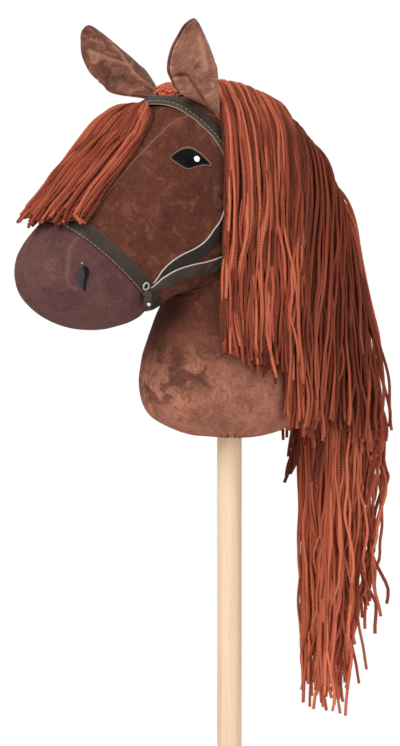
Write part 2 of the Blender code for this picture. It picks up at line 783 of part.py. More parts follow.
def stud(tree):
    """A domed stud through the left strap tab."""
    point, normal = surface_hit(tree, *TAB_PLACE)
    profile = [
        (STUD_RADIUS * math.sin(a), STUD_HEIGHT * (0.3 + 0.7 * math.cos(a)))
        for a in np.radians((0, 30, 60, 90))
    ]
    profile += [(STUD_RADIUS, 0.0), (0.0, 0.0)]
    base = point + normal * (TAB_LOW + TAB + GAP)
    head = turned("strap_stud_left", profile, 16, base)
    head.rotation_mode = "QUATERNION"
    head.rotation_quaternion = normal.to_track_quat("Z", "X")
    place(head, (0.6, 0.6, 0.6), 0.3, 1.0)


def mirror_left_pieces():
    """Copy every left piece, as it is evaluated, to the right side."""
    bpy.context.view_layer.update()
    seen = bpy.context.evaluated_depsgraph_get()
    lefts = [o for o in PARTS.objects if o.name.endswith("_left")]
    for left in lefts:
        name = left.name.replace("_left", "_right")
        mesh = bpy.data.meshes.new_from_object(left.evaluated_get(seen))
        mesh.name = name
        mesh.transform(Matrix.Diagonal((-1, 1, 1, 1)) @ left.matrix_world)
        mesh.flip_normals()
        right = bpy.data.objects.new(name, mesh)
        PARTS.objects.link(right)
        finish = left.data.materials[0].copy()
        finish.name = name
        mesh.materials.clear()
        mesh.materials.append(finish)


def ear(trims):
    """The left ear's two leaves of fabric, cupped outwards: outer leaf and lining."""
    base = Vector((EAR_BASE[0], EAR_BASE[1], EAR_BASE[2] + MOUTH))
    tip = Vector((EAR_TIP[0], EAR_TIP[1], EAR_TIP[2] + MOUTH))
    along = tip - base
    back = Vector(EAR_BACK)
    back = (back - along * back.dot(along) / along.length_squared).normalized()
    outward = back.cross(along).normalized()
    root = [Vector((x, y, z + MOUTH)) for x, y, z in EAR_ROOT]
    sewn = [Vector(p) for p in curve_through([tuple(p) for p in root], EAR_COLUMNS // (len(root) - 1))]
    leaves = (
        ("outer", (sewn,), EAR_SHAPE, 1.0, 0.0),
        ("inner", (), EAR_SHAPE[:-1], EAR_LINING_SHARE, EAR_FABRIC + EAR_LINING_GAP),
    )
    for leaf, roots, shape, share, lift in leaves:
        bm = bmesh.new()
        rows = [[bm.verts.new(spot) for spot in row] for row in roots]
        for t, front, rear, cup in shape:
            row = []
            for k in range(EAR_COLUMNS + 1):
                across = share * (2 * k / EAR_COLUMNS - 1)
                deep = EAR_CUP * cup * (across * across - 1)
                width = front if across < 0 else rear
                spot = base + along * t
                spot += back * (across * EAR_HALF_WIDTH * width) + outward * deep
                row.append(bm.verts.new(spot))
            rows.append(row)
        for a, b in zip(rows, rows[1:]):
            for k in range(EAR_COLUMNS):
                bm.faces.new((a[k], a[k + 1], b[k + 1], b[k]))
        bmesh.ops.recalc_face_normals(bm, faces=bm.faces)
        bm.normal_update()
        bm.faces.ensure_lookup_table()
        if bm.faces[len(bm.faces) // 2].normal.dot(outward) < 0:
            bmesh.ops.reverse_faces(bm, faces=bm.faces)
            bm.normal_update()
        raise_surface(bm, lift)
        obj = part(f"ear_{leaf}_left", to_mesh(f"ear_{leaf}", bm), PLUSH, 0.9)
        solidify(obj, EAR_FABRIC, 1.0)
        for tool in trims:
            boolean(obj, tool, "DIFFERENCE", "MANIFOLD")


def lofted_yarn(name, rows, grow=0.0):
    """A closed mesh through sections given as inner point, outer point and half width."""
    bm = bmesh.new()
    rings = []
    for row in curve_through([np.hstack(r) for r in rows], 2):
        low = Vector((0, row[0], row[1] + MOUTH))
        high = Vector((0, row[2], row[3] + MOUTH))
        reach = (high - low).normalized() * grow
        rings.append(ring(bm, low - reach, high + reach, row[4] + grow, YARN_SIDES, SQUARENESS))
    loft(bm, rings)
    bm.faces.new(list(reversed(rings[0])))
    bm.faces.new(rings[-1])
    bmesh.ops.recalc_face_normals(bm, faces=bm.faces)
    return to_mesh(name, bm)


def mane(cuts, form_under_yarn, under_rein):
    """The yarn: crest and hanging tail, the locks draped on each side and the forelock."""
    applied(
        "mane_tape", patch("mane_tape", near_route(crest_route(), CREST_REACH), GAP, TAPE_TOP),
        (cuts.tape,), (0.10, 0.03, 0.02), 0.9,
    )
    back = part("mane_back", lofted_yarn("mane_back", MANE_BACK), YARN, 0.9)
    lock = part("forelock", lofted_yarn("forelock", FORELOCK), YARN, 0.9)
    for yarn in (back, lock):
        boolean(yarn, form_under_yarn, "DIFFERENCE")
    boolean(back, under_rein, "DIFFERENCE", "MANIFOLD")
    around = cutter("around_mane_back", lofted_yarn("around_mane_back", MANE_BACK, YARN_GAP))
    outline = [(y, z + MOUTH) for y, z in SIDE_MANE_OUTLINE]
    prism = extruded("mane_left_prism", outline, TAPE_HALF_WIDTH, REACH)
    locks = part("mane_left", lofted_yarn("mane_left", SIDE_MANE_SECTIONS), YARN, 0.9)
    boolean(locks, form_under_yarn, "DIFFERENCE")
    boolean(locks, under_rein, "DIFFERENCE", "MANIFOLD")
    boolean(locks, prism, "INTERSECT")
    boolean(locks, around, "DIFFERENCE")


def crest_route():
    """The crest seen from the side, for picking the tape's stretch of the surface."""
    points = []
    first, last = TAPE_STATIONS
    for k in range(CREST_COUNT + 1):
        _, high, _ = station(first + (last - first) * k / CREST_COUNT)
        points.append((high.y, high.z - MOUTH))
    return points


def neck_tie():
    """The cord that gathers the cover on the tube, a ring lying inside the neck."""
    major = TUBE_OUTER + GAP + TIE_RADIUS
    bpy.ops.mesh.primitive_torus_add(
        major_segments=32, minor_segments=8, major_radius=major, minor_radius=TIE_RADIUS,
        location=(0, 0, TIE_HEIGHT),
    )
    tie = bpy.context.object
    tie.name = "neck_tie"
    tie.data.name = "neck_tie"
    for home in list(tie.users_collection):
        home.objects.unlink(tie)
    PARTS.objects.link(tie)
    return place(tie, (0.5, 0.45, 0.4), 0.8)


def main():
    """Build the hobby horse."""
    cuts = Cuts()
    form = skin()
    tree = BVHTree.FromBMesh(form)
    form.free()
    under_yarn = cutter("under_yarn", to_mesh("under_yarn", skin(YARN_LOW, close_mouth=True)))
    under_ears = cutter("under_ears", to_mesh("under_ears", skin(GAP, close_mouth=True)))
    pole()
    socket_tube()
    covers(cuts)
    stuffing(cuts)
    noseband()
    straps(behind_noseband())
    face_details()
    stud(tree)
    ear((under_ears, strap_space("over_head", HEADPIECE_ROUTE, LINING_WIDTH, HEADPIECE_TOP)))
    rein_space = strap_space("over_neck", REIN_ROUTE, REIN_WIDTH, REIN_LOW + STRAP)
    mane(cuts, under_yarn, rein_space)
    neck_tie()
    mirror_left_pieces()


main()
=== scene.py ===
"""Looks of a hobby horse: a stuffed plush head with a yarn mane, on a round stick.

Metres, +Z up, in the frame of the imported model. The horse looks along -Y and its left
side is +X. Heights of the head are measured from the neck's mouth.
"""
from __future__ import annotations

import logging
import math
from dataclasses import dataclass, field, replace
from enum import Enum
from typing import Callable, Sequence

import bmesh
import bpy
import numpy as np
from mathutils import Matrix, Vector, noise
from mathutils.bvhtree import BVHTree


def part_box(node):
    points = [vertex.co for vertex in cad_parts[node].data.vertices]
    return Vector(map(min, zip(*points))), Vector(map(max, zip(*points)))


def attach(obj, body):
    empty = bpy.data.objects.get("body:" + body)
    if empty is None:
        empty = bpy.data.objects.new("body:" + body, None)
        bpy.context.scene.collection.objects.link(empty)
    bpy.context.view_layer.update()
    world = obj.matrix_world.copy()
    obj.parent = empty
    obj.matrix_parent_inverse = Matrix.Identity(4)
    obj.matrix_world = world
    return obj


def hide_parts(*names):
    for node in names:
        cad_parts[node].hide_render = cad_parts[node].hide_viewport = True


log = logging.getLogger("hobby_horse")
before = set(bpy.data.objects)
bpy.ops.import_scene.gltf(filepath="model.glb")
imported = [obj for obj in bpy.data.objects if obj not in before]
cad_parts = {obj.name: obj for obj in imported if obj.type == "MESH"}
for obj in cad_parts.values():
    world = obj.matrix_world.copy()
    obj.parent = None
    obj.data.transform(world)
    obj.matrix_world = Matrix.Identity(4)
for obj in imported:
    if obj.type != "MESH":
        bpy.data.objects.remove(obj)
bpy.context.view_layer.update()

HEAD = "head"
TUBE_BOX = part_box("socket_tube")
MOUTH = TUBE_BOX[0][2]
TUBE_RADIUS = (TUBE_BOX[1][0] - TUBE_BOX[0][0]) / 2
UP = Vector((0.0, 0.0, 1.0))
LEFTWARD = Vector((1.0, 0.0, 0.0))

# Points nearer to each other than this are joined.
WELD = 0.00002
# Edges under this angle in degrees look smooth and aren't bevelled.
SMOOTH_TO = 50.0

BMesh = bmesh.types.BMesh
Object = bpy.types.Object
Socket = bpy.types.NodeSocket
Place = Callable[[float, float], Vector]


class Side(Enum):
    """Which side of the horse a piece is on; the value is the sign of its x."""

    LEFT = 1
    RIGHT = -1

    @property
    def word(self) -> str:
        """The ending of the names of this side's pieces."""
        return self.name.lower()


def srgb(red: int, green: int, blue: int) -> tuple[float, float, float, float]:
    """A colour given as it looks on a screen, as linear values.

    Args:
        red: Red from 0 to 255.
        green: Green from 0 to 255.
        blue: Blue from 0 to 255.

    Returns:
        Linear red, green, blue and an alpha of one.
    """
    parts = []
    for value in (red, green, blue):
        share = value / 255
        parts.append(share / 12.92 if share <= 0.04045 else ((share + 0.055) / 1.055) ** 2.4)
    return (*parts, 1.0)


def eased(low: float, high: float, value: float) -> float:
    """A smooth step from 0 at low to 1 at high."""
    share = min(max((value - low) / (high - low), 0.0), 1.0)
    return share * share * (3 - 2 * share)


def between(pair: Sequence[float], share: float) -> float:
    """The value at a share of the way from a pair's first number to its second."""
    return pair[0] + (pair[1] - pair[0]) * share


def bell(distance: float, width: float) -> float:
    """A smooth bump: 1 at no distance, and fading out over the width."""
    return math.exp(-((distance / width) ** 2))


def squared(value: float, power: float) -> float:
    """A sine or cosine raised to a power with its sign kept, which squares a circle."""
    return math.copysign(abs(value) ** power, value)


def curve_through(keys: Sequence[Sequence[float]], steps: int) -> np.ndarray:
    """Rows of a smooth curve through some keys.

    Args:
        keys: The rows that the curve passes through.
        steps: The number of steps between two keys.

    Returns:
        An array with one row for each point of the curve.
    """
    keys = np.asarray(keys, dtype=float)
    ends = np.vstack([2 * keys[0] - keys[1], keys, 2 * keys[-1] - keys[-2]])
    rows = []
    for i in range(len(keys) - 1):
        a, b, c, d = ends[i : i + 4]
        for k in range(steps):
            t = k / steps
            rows.append(
                0.5 * (2 * b + (c - a) * t + (2 * a - 5 * b + 4 * c - d) * t**2
                       + (3 * b - a - 3 * c + d) * t**3)
            )
    rows.append(keys[-1])
    return np.array(rows)


def evened(points: np.ndarray, count: int) -> np.ndarray:
    """Points spread evenly along a polyline.

    Args:
        points: The polyline's corners, one row each.
        count: How many points to return.

    Returns:
        An array of count rows.
    """
    spans = np.linalg.norm(np.diff(points, axis=0), axis=1)
    run = np.concatenate([[0.0], np.cumsum(spans)])
    wanted = np.linspace(0.0, run[-1], count)
    return np.stack([np.interp(wanted, run, points[:, k]) for k in range(3)], axis=1)


# Shader nodes


class Nodes:
    """A node tree under construction, with short calls for the nodes that it uses."""

    def __init__(self, tree: bpy.types.NodeTree) -> None:
        """Start with a tree that has its main node."""
        self.tree = tree

    def feed(self, socket: Socket, value: Socket | float | tuple) -> None:
        """Link a socket to another one, or set its number or colour."""
        if isinstance(value, Socket):
            self.tree.links.new(value, socket)
        else:
            socket.default_value = value

    def node(self, kind: str, **inputs: Socket | float | tuple) -> bpy.types.Node:
        """A new node with some of its inputs fed.

        Args:
            kind: The end of its type's name.
            inputs: Inputs by name, with underscores for spaces.

        Returns:
            The node.
        """
        node = self.tree.nodes.new(f"ShaderNode{kind}")
        for name, value in inputs.items():
            self.feed(node.inputs[name.replace("_", " ")], value)
        return node

    def math(
        self, operation: str, first: Socket | float, second: Socket | float = 0.0,
        third: Socket | float = 0.0,
    ) -> Socket:
        """The result of a Math node.

        Args:
            operation: The node's operation.
            first: The first socket or number.
            second: The second one.
            third: The third one, where the operation has it.

        Returns:
            The result.
        """
        node = self.node("Math")
        node.operation = operation
        for socket, value in zip(node.inputs, (first, second, third)):
            self.feed(socket, value)
        return node.outputs[0]

    def times(self, first: Socket | float, second: Socket | float) -> Socket:
        """The product of two sockets or numbers."""
        return self.math("MULTIPLY", first, second)

    def seen(self) -> Socket:
        """1 where the camera or a glossy surface looks, and 0 for light that falls."""
        path = self.node("LightPath")
        return self.math("MAXIMUM", path.outputs["Is Camera Ray"], path.outputs["Is Glossy Ray"])


class Shader(Nodes):
    """A material under construction."""

    def __init__(self, name: str) -> None:
        """Start a material of this name with a Principled BSDF."""
        self.material = bpy.data.materials.new(name)
        self.material.use_nodes = True
        super().__init__(self.material.node_tree)
        self.surface = self.tree.nodes["Principled BSDF"]
        self.coordinates = self.node("TexCoord").outputs["Object"]

    def attribute(self, name: str, output: str = "Fac") -> Socket:
        """The value that the mesh stores under a name."""
        node = self.node("Attribute")
        node.attribute_name = name
        return node.outputs[output]

    def split(self, vector: Socket) -> list[Socket]:
        """The three parts of a vector."""
        return list(self.node("SeparateXYZ", Vector=vector).outputs[:3])

    def grey(self, value: Socket) -> Socket:
        """A value as a grey colour."""
        return self.node("CombineColor", Red=value, Green=value, Blue=value).outputs[0]

    def stretched(self, scale: tuple[float, float, float]) -> Socket:
        """Object coordinates, scaled along each axis."""
        return self.node("Mapping", Vector=self.coordinates, Scale=scale).outputs["Vector"]

    def noise(
        self, scale: float, detail: float = 2.0, rough: float = 0.5, distort: float = 0.0,
        vector: Socket | None = None,
    ) -> Socket:
        """Cloudy noise.

        Args:
            scale: Clouds per metre.
            detail: Octaves.
            rough: Weight of the finer octaves.
            distort: How far the clouds are warped.
            vector: Coordinates, where they aren't the object's.

        Returns:
            The noise value.
        """
        return self.node(
            "TexNoise", Scale=scale, Detail=detail, Roughness=rough, Distortion=distort,
            Vector=vector or self.coordinates,
        ).outputs["Fac"]

    def cells(self, scale: float) -> Socket:
        """Distance in a cellular pattern with so many cells per metre."""
        return self.node("TexVoronoi", Scale=scale, Vector=self.coordinates).outputs["Distance"]

    def spread(
        self, value: Socket, low: float, high: float, to_low: float = 0.0,
        to_high: float = 1.0,
    ) -> Socket:
        """A value mapped smoothly from one range to another.

        Args:
            value: The value.
            low: Where the first range starts.
            high: Where it ends; it may lie below its start.
            to_low: What the first range's start becomes.
            to_high: What its end becomes.

        Returns:
            The mapped value, kept inside the second range.
        """
        node = self.node(
            "MapRange", Value=value, From_Min=low, From_Max=high, To_Min=to_low,
            To_Max=to_high,
        )
        node.interpolation_type = "SMOOTHSTEP"
        return node.outputs["Result"]

    def mix(
        self, factor: Socket | float, first: Socket | tuple, second: Socket | tuple,
        blend: str = "MIX",
    ) -> Socket:
        """Two colours mixed.

        Args:
            factor: How much of the second colour, from 0 to 1.
            first: The first colour or its socket.
            second: The second colour or its socket.
            blend: The node's way of blending.

        Returns:
            The mixed colour.
        """
        node = self.node("Mix")
        node.data_type = "RGBA"
        node.blend_type = blend
        for index, value in ((0, factor), (6, first), (7, second)):
            self.feed(node.inputs[index], value)
        return node.outputs[2]

    def ramp(self, value: Socket, stops: Sequence[tuple[float, tuple]]) -> Socket:
        """A colour that goes through some stops.

        Args:
            value: The place on the ramp.
            stops: Places from 0 to 1, each with its colour.

        Returns:
            The colour.
        """
        node = self.node("ValToRGB", Fac=value)
        while len(node.color_ramp.elements) < len(stops):
            node.color_ramp.elements.new(0.5)
        for element, (place, colour) in zip(node.color_ramp.elements, stops):
            element.position = place
            element.color = colour
        return node.outputs["Color"]

    def bump(
        self, height: Socket, distance: float, strength: float = 1.0,
        under: Socket | None = None,
    ) -> Socket:
        """A bump on top of another one.

        Args:
            height: Height from 0 to 1.
            distance: The height in metres.
            strength: How much of it shows.
            under: The normal of the bump below it.

        Returns:
            The bumped normal.
        """
        node = self.node("Bump", Distance=distance, Strength=strength, Height=height)
        if under is not None:
            self.feed(node.inputs["Normal"], under)
        return node.outputs["Normal"]

    def done(
        self, colour: Socket | tuple, rough: Socket | float, normal: Socket,
        **settings: Socket | float | tuple,
    ) -> bpy.types.Material:
        """Wire the surface and return the material.

        Args:
            colour: Base colour.
            rough: Roughness.
            normal: Bumped normal.
            settings: Other inputs of the surface, with underscores for spaces.

        Returns:
            The finished material.
        """
        inputs = {"Base_Color": colour, "Roughness": rough, "Normal": normal, **settings}
        for name, value in inputs.items():
            self.feed(self.surface.inputs[name.replace("_", " ")], value)
        return self.material


# Finishes


@dataclass(frozen=True)
class Plush:
    """Short-pile plush, mottled where the pile is pressed flat.

    Patches, marks, tufts and pile are noises from coarse to fine, in clouds per metre.
    The depth scales the marks, and the grain is how much the pile varies in brightness.
    Where lit is given, the cloth low on the neck is mixed towards that lighter colour as
    painted light, and in front its pile shows crush marks.
    """

    name: str
    colour: tuple
    pressed: tuple
    brushed: tuple
    patch: float = 24.0
    marks: float = 55.0
    tufts: float = 330.0
    pile: float = 900.0
    depth: float = 1.0
    grain: float = 0.20
    seam_share: float = 0.20
    # Painted light: a lighter colour that makes the lower neck look more brightly lit.
    lit: tuple | None = None
    lit_height: tuple = (0.125, 0.04)
    crush_top: tuple = (0.110, 0.080)
    crush_foot: tuple = (0.020, 0.045)
    crush_front: tuple = (-0.042, -0.062)
    crush_streaks: float = 48.0

    def make(self) -> bpy.types.Material:
        """The material."""
        shader = Shader(self.name)
        cloud = shader.noise(self.patch, 3, 0.55, 0.4)
        marks = shader.noise(self.marks, 4, 0.62, 1.2)
        tufts = shader.noise(self.tufts, 3, 0.6, 0.6)
        pile = shader.noise(self.pile, 3, 0.7)
        base = self.colour
        # On the ears this attribute is painted shade in dents, hollows and under the flap's hem,
        # and darker towards the tip; where lit is given, real crush marks take its place.
        crush_and_shade = shader.attribute("press")
        # Painted light: low is the share of the lit colour low on the neck; zone and foot bound
        # the real crush marks.
        if self.lit:
            _, back, up = shader.split(shader.coordinates)
            low, zone, foot = (
                shader.spread(up, *(MOUTH + height for height in heights))
                for heights in (self.lit_height, self.crush_top, self.crush_foot)
            )
            base = shader.mix(low, self.colour, self.lit)
            zone = shader.times(shader.times(zone, foot), shader.spread(back, *self.crush_front))
            streaks = shader.noise(self.crush_streaks, 4, 0.62, 0.9)
            crush_and_shade = shader.times(zone, shader.spread(streaks, 0.56, 0.42, 0.0, 0.62))
        tone = shader.mix(shader.spread(cloud, 0.30, 0.62, 0.5, 0.0), base, self.pressed)
        raised = shader.spread(marks, 0.47, 0.70, 0.0, 0.60 * self.depth)
        tone = shader.mix(raised, tone, self.brushed)
        sunk = shader.spread(marks, 0.43, 0.26, 0.0, 0.70 * self.depth)
        dark = shader.mix(sunk, tone, self.pressed)
        darkest = (*(0.62 * part for part in self.pressed[:3]), 1.0)
        dark = shader.mix(crush_and_shade, dark, darkest)
        range_to = (1 - self.grain, 1 + self.grain * 0.8)
        speck = shader.times(
            shader.spread(pile, 0.25, 0.75, *range_to),
            shader.spread(tufts, 0.28, 0.72, *range_to),
        )
        shaded = shader.mix(1.0, dark, shader.grey(speck), "MULTIPLY")
        # This attribute lightens the fabric along seams and creases, and on the ear lining it is
        # a painted highlight along the ridge.
        seam = shader.times(shader.attribute("seam"), self.seam_share)
        shaded = shader.mix(seam, shaded, self.brushed)
        height = shader.math("ADD", shader.times(marks, 1.4), pile)
        height = shader.math("ADD", height, tufts)
        normal = shader.bump(pile, 0.0006, 0.55)
        normal = shader.bump(height, 0.0011, 0.40, normal)
        return shader.done(
            shaded, 0.92, normal, Sheen_Weight=0.30, Sheen_Roughness=0.45,
            Sheen_Tint=self.brushed, Specular_IOR_Level=0.12,
        )


@dataclass(frozen=True)
class Leathercloth:
    """Coated strap with a fine grain and a pale cut edge.

    The edge's colour starts at a share of the half width.
    """

    name: str
    face: tuple
    worn: tuple
    edge: tuple
    edge_from: float = 0.86

    def make(self) -> bpy.types.Material:
        """The material."""
        shader = Shader(self.name)
        grain = shader.cells(1300.0)
        cloud = shader.noise(60.0, 4, 0.6)
        tone = shader.mix(shader.spread(cloud, 0.35, 0.75), self.face, self.worn)
        edge = shader.spread(shader.attribute("edge"), self.edge_from, self.edge_from + 0.06)
        colour = shader.mix(edge, tone, self.edge)
        height = shader.math("ADD", grain, shader.noise(420.0, 2))
        normal = shader.bump(height, 0.00025, 0.6)
        rough = shader.spread(cloud, 0.3, 0.7, 0.42, 0.60)
        return shader.done(colour, rough, normal, Specular_IOR_Level=0.22)


@dataclass(frozen=True)
class Yarn:
    """Twisted yarn; each strand has its own tone, and its plies show as ridges.

    The pitch is the length of yarn in which a ply goes round once.
    """

    name: str
    deep: tuple
    middle: tuple
    bright: tuple
    warmth: tuple = srgb(255, 196, 160)
    plies: float = 2.0
    pitch: float = 0.0060

    def make(self) -> bpy.types.Material:
        """The material."""
        shader = Shader(self.name)
        # The tone is partly the yarn's own random tone and partly painted shade and painted
        # light.
        tone = shader.attribute("tone")
        cosine, sine, run = shader.split(shader.attribute("ply", "Vector"))
        turn = shader.times(shader.math("ARCTAN2", sine, cosine), self.plies)
        phase = shader.math("MULTIPLY_ADD", run, 2 * math.pi * self.plies / self.pitch, turn)
        ridge = shader.math("MULTIPLY_ADD", shader.math("SINE", phase), 0.5, 0.5)
        fuzz = shader.noise(1100.0, 3, 0.7)
        lit = shader.spread(fuzz, 0.25, 0.8)
        colour = shader.ramp(tone, ((0.0, self.deep), (0.5, self.middle), (1.0, self.bright)))
        light = shader.mix(1.0, colour, self.warmth, "MULTIPLY")
        colour = shader.mix(shader.times(lit, 0.30), colour, self.bright)
        # Painted shade: the grooves between the plies are darkened.
        groove = shader.spread(ridge, 0.05, 0.55, 0.34, 0.0)
        colour = shader.mix(groove, colour, self.deep)
        colour = shader.mix(shader.spread(tone, 0.0, 1.0, 0.25, 0.0), colour, light)
        normal = shader.bump(ridge, 0.0007, 0.8)
        normal = shader.bump(fuzz, 0.0004, 0.6, normal)
        return shader.done(
            colour, 0.88, normal, Sheen_Weight=0.20, Sheen_Roughness=0.5,
            Sheen_Tint=self.bright, Specular_IOR_Level=0.15,
        )


@dataclass(frozen=True)
class Beech:
    """Sanded pale hardwood with long grain and short dark flecks."""

    name: str
    pale: tuple
    grain: tuple
    fleck: tuple

    def make(self) -> bpy.types.Material:
        """The material."""
        shader = Shader(self.name)
        long_grain = shader.noise(1.0, 4, 0.6, 0.6, shader.stretched((150.0, 150.0, 5.0)))
        pores = shader.noise(1.0, 2, 0.5, 0.0, shader.stretched((900.0, 900.0, 120.0)))
        lines = shader.spread(long_grain, 0.38, 0.72, 0.0, 0.55)
        colour = shader.mix(lines, self.pale, self.grain)
        flecks = shader.spread(pores, 0.63, 0.72, 0.0, 0.22)
        colour = shader.mix(flecks, colour, self.fleck)
        normal = shader.bump(long_grain, 0.0002, 0.25)
        rough = shader.spread(long_grain, 0.3, 0.7, 0.42, 0.55)
        return shader.done(colour, rough, normal, Specular_IOR_Level=0.4)


@dataclass(frozen=True)
class Plain:
    """A small piece's finish: one colour with a little unevenness in it."""

    name: str
    colour: tuple
    other: tuple
    rough: float = 0.6
    metallic: float = 0.0
    grain: float = 700.0
    height: float = 0.0002
    gleam: float = 0.4

    def make(self) -> bpy.types.Material:
        """The material."""
        shader = Shader(self.name)
        cloud = shader.noise(self.grain, 3, 0.6)
        colour = shader.mix(shader.spread(cloud, 0.3, 0.7), self.colour, self.other)
        normal = shader.bump(cloud, self.height, 0.6)
        return shader.done(
            colour, self.rough, normal, Metallic=self.metallic, Specular_IOR_Level=self.gleam,
        )


@dataclass(frozen=True)
class Floor:
    """Matt studio floor whose far part looks as white as the sky behind it."""

    name: str
    face: tuple
    other: tuple
    near: float = 0.7
    far: float = 1.7
    white: tuple = (1.0, 1.0, 1.0, 1.0)
    black: tuple = (0.0, 0.0, 0.0, 1.0)

    def make(self) -> bpy.types.Material:
        """The material."""
        shader = Shader(self.name)
        length = shader.node("VectorMath", Vector=shader.coordinates)
        length.operation = "LENGTH"
        far = shader.spread(length.outputs["Value"], self.near, self.far)
        glow = shader.times(far, shader.seen())
        tone = shader.mix(shader.noise(3.0, 3, 0.5), self.face, self.other)
        tone = shader.mix(glow, tone, self.black)
        normal = shader.bump(shader.noise(400.0, 2), 0.0001, 0.2)
        return shader.done(
            tone, 0.9, normal, Specular_IOR_Level=0.0, Emission_Color=self.white,
            Emission_Strength=glow,
        )


Finish = Plush | Leathercloth | Yarn | Beech | Plain | Floor

# The lit colour is painted light for the lower neck.
PLUSH = Plush(
    "plush", srgb(94, 53, 41), srgb(74, 40, 31), srgb(132, 80, 61), lit=srgb(178, 117, 96)
)
EAR_PLUSH = Plush(
    "ear_plush", srgb(116, 74, 60), srgb(72, 43, 35), srgb(176, 126, 104), patch=50.0,
    marks=90.0, depth=1.1, grain=0.15, seam_share=0.75,
)
EAR_LINING = replace(
    EAR_PLUSH, name="ear_lining", colour=srgb(168, 114, 94), pressed=srgb(116, 72, 58),
    brushed=srgb(206, 156, 132),
)
SUEDE = Plush(
    "suede", srgb(100, 67, 64), srgb(68, 44, 44), srgb(122, 85, 81), patch=20.0, marks=80.0,
    tufts=420.0, pile=1500.0, depth=0.70, grain=0.16, seam_share=0.90,
)
STRAP = Leathercloth("strap_leather", srgb(58, 46, 38), srgb(74, 60, 50), srgb(186, 172, 158))
# Painted shade: the cheek straps' leather, darkened because their faces lie in shade.
PAINTED_SHADE_STRAP = Leathercloth("strap_dark", srgb(30, 25, 22), srgb(40, 34, 30), srgb(190, 176, 164))
BAND = Leathercloth(
    "band_leather", srgb(44, 34, 28), srgb(62, 50, 42), srgb(106, 92, 78), edge_from=0.93
)
LINING = Leathercloth(
    "strap_lining", srgb(72, 58, 48), srgb(86, 72, 60), srgb(158, 142, 126), edge_from=0.90
)
YARN = Yarn("yarn", srgb(44, 24, 19), srgb(132, 57, 40), srgb(228, 125, 92))
BEECH = Beech("beech", srgb(228, 200, 168), srgb(208, 172, 134), srgb(172, 134, 96))
THREAD = Plain("stitching", srgb(176, 162, 148), srgb(150, 134, 120), 0.7)
EYE_RIM = Plain("eye_rim", srgb(128, 98, 84), srgb(98, 72, 60), 0.8, grain=1400.0)
EYE_BLACK = Plain(
    "eye_black", srgb(8, 8, 10), srgb(22, 24, 24), 0.7, grain=60.0, height=0.0, gleam=0.05
)
SEAM_PLUSH = Plain("seam_plush", srgb(150, 106, 88), srgb(124, 82, 66), 0.9, gleam=0.1)
PALE_EDGE = Plain("strap_edge", srgb(186, 172, 160), srgb(160, 146, 134))
EYE_WHITE = Plain("eye_white", srgb(250, 250, 250), srgb(236, 236, 238), 0.5)
FELT_GREY = Plain(
    "nostril_grey", srgb(48, 44, 48), srgb(66, 62, 66), 0.85, grain=1200.0, gleam=0.15
)
# Painted shadow: the black crescent where the nostril's opening lies in shade.
NOSTRIL_SHADOW_BLACK = Plain(
    "nostril_black", srgb(14, 12, 15), srgb(26, 23, 27), 0.8, grain=1200.0, gleam=0.1
)
# Painted highlight: a pale dot above the nostril.
NOSTRIL_HIGHLIGHT_PAINT = Plain("nostril_stitch", srgb(206, 188, 202), srgb(176, 156, 172))
STUD_METAL = Plain("stud_metal", srgb(196, 196, 196), srgb(170, 170, 172), 0.3, 1.0)
PLASTIC = Plain("socket_plastic", srgb(226, 226, 220), srgb(216, 216, 210), 0.45)
FILLING = Plain(
    "filling", srgb(238, 238, 234), srgb(214, 214, 210), 0.95, grain=160.0, height=0.004
)
TAPE = Plain("tape", srgb(92, 40, 28), srgb(70, 28, 20), 0.9)
CORD = Plain("tie_cord", srgb(196, 184, 164), srgb(160, 146, 126), 0.85)
FLOOR = Floor("floor", srgb(244, 244, 244), srgb(248, 248, 248))


class Wardrobe:
    """Makes each finish once and hands it out."""

    def __init__(self) -> None:
        """Start with no material made."""
        self.made: dict[str, bpy.types.Material] = {}

    def get(self, finish: Finish) -> bpy.types.Material:
        """The finish's material."""
        if finish.name not in self.made:
            self.made[finish.name] = finish.make()
        return self.made[finish.name]


WARDROBE = Wardrobe()


# Pieces


def placed(name: str, data: bpy.types.ID) -> Object:
    """A new object of the scene for a mesh, a lamp or a camera."""
    thing = bpy.data.objects.new(name, data)
    bpy.context.scene.collection.objects.link(thing)
    return thing


def stored(name: str, bm: BMesh) -> bpy.types.Mesh:
    """A mesh of the file made from a bmesh, which is freed."""
    mesh = bpy.data.meshes.new(name)
    bm.to_mesh(mesh)
    bm.free()
    return mesh


def mapped_grid(
    columns: int, rows: int, place: Place, bm: BMesh | None = None,
) -> BMesh:
    """A grid whose corners are moved to where a function says.

    Args:
        columns: Faces along the first direction.
        rows: Faces along the second direction.
        place: The point for two shares from 0 to 1.
        bm: The mesh to add it to, or None for a new one.

    Returns:
        The mesh, with a UV map of the two shares.
    """
    bm = bm or bmesh.new()
    bm.loops.layers.uv.verify()
    made = bmesh.ops.create_grid(
        bm, x_segments=columns, y_segments=rows, size=0.5, calc_uvs=True
    )["verts"]
    for vert in made:
        vert.co = place(vert.co.x + 0.5, vert.co.y + 0.5)
    return bm


def share_grid(columns: int, rows: int, bm: BMesh) -> None:
    """Add a flat grid whose corners stand at their two shares, to be placed afterwards."""
    mapped_grid(columns, rows, lambda u, v: Vector((u, v, 0.0)), bm)


def weld(bm: BMesh, reach: float = WELD) -> None:
    """Join the points that lie on each other."""
    bmesh.ops.remove_doubles(bm, verts=bm.verts, dist=reach)


def weld_closed(bm: BMesh, reach: float = WELD) -> None:
    """Join the points that lie on each other and turn all faces of the closed form out."""
    weld(bm, reach)
    bmesh.ops.recalc_face_normals(bm, faces=bm.faces)


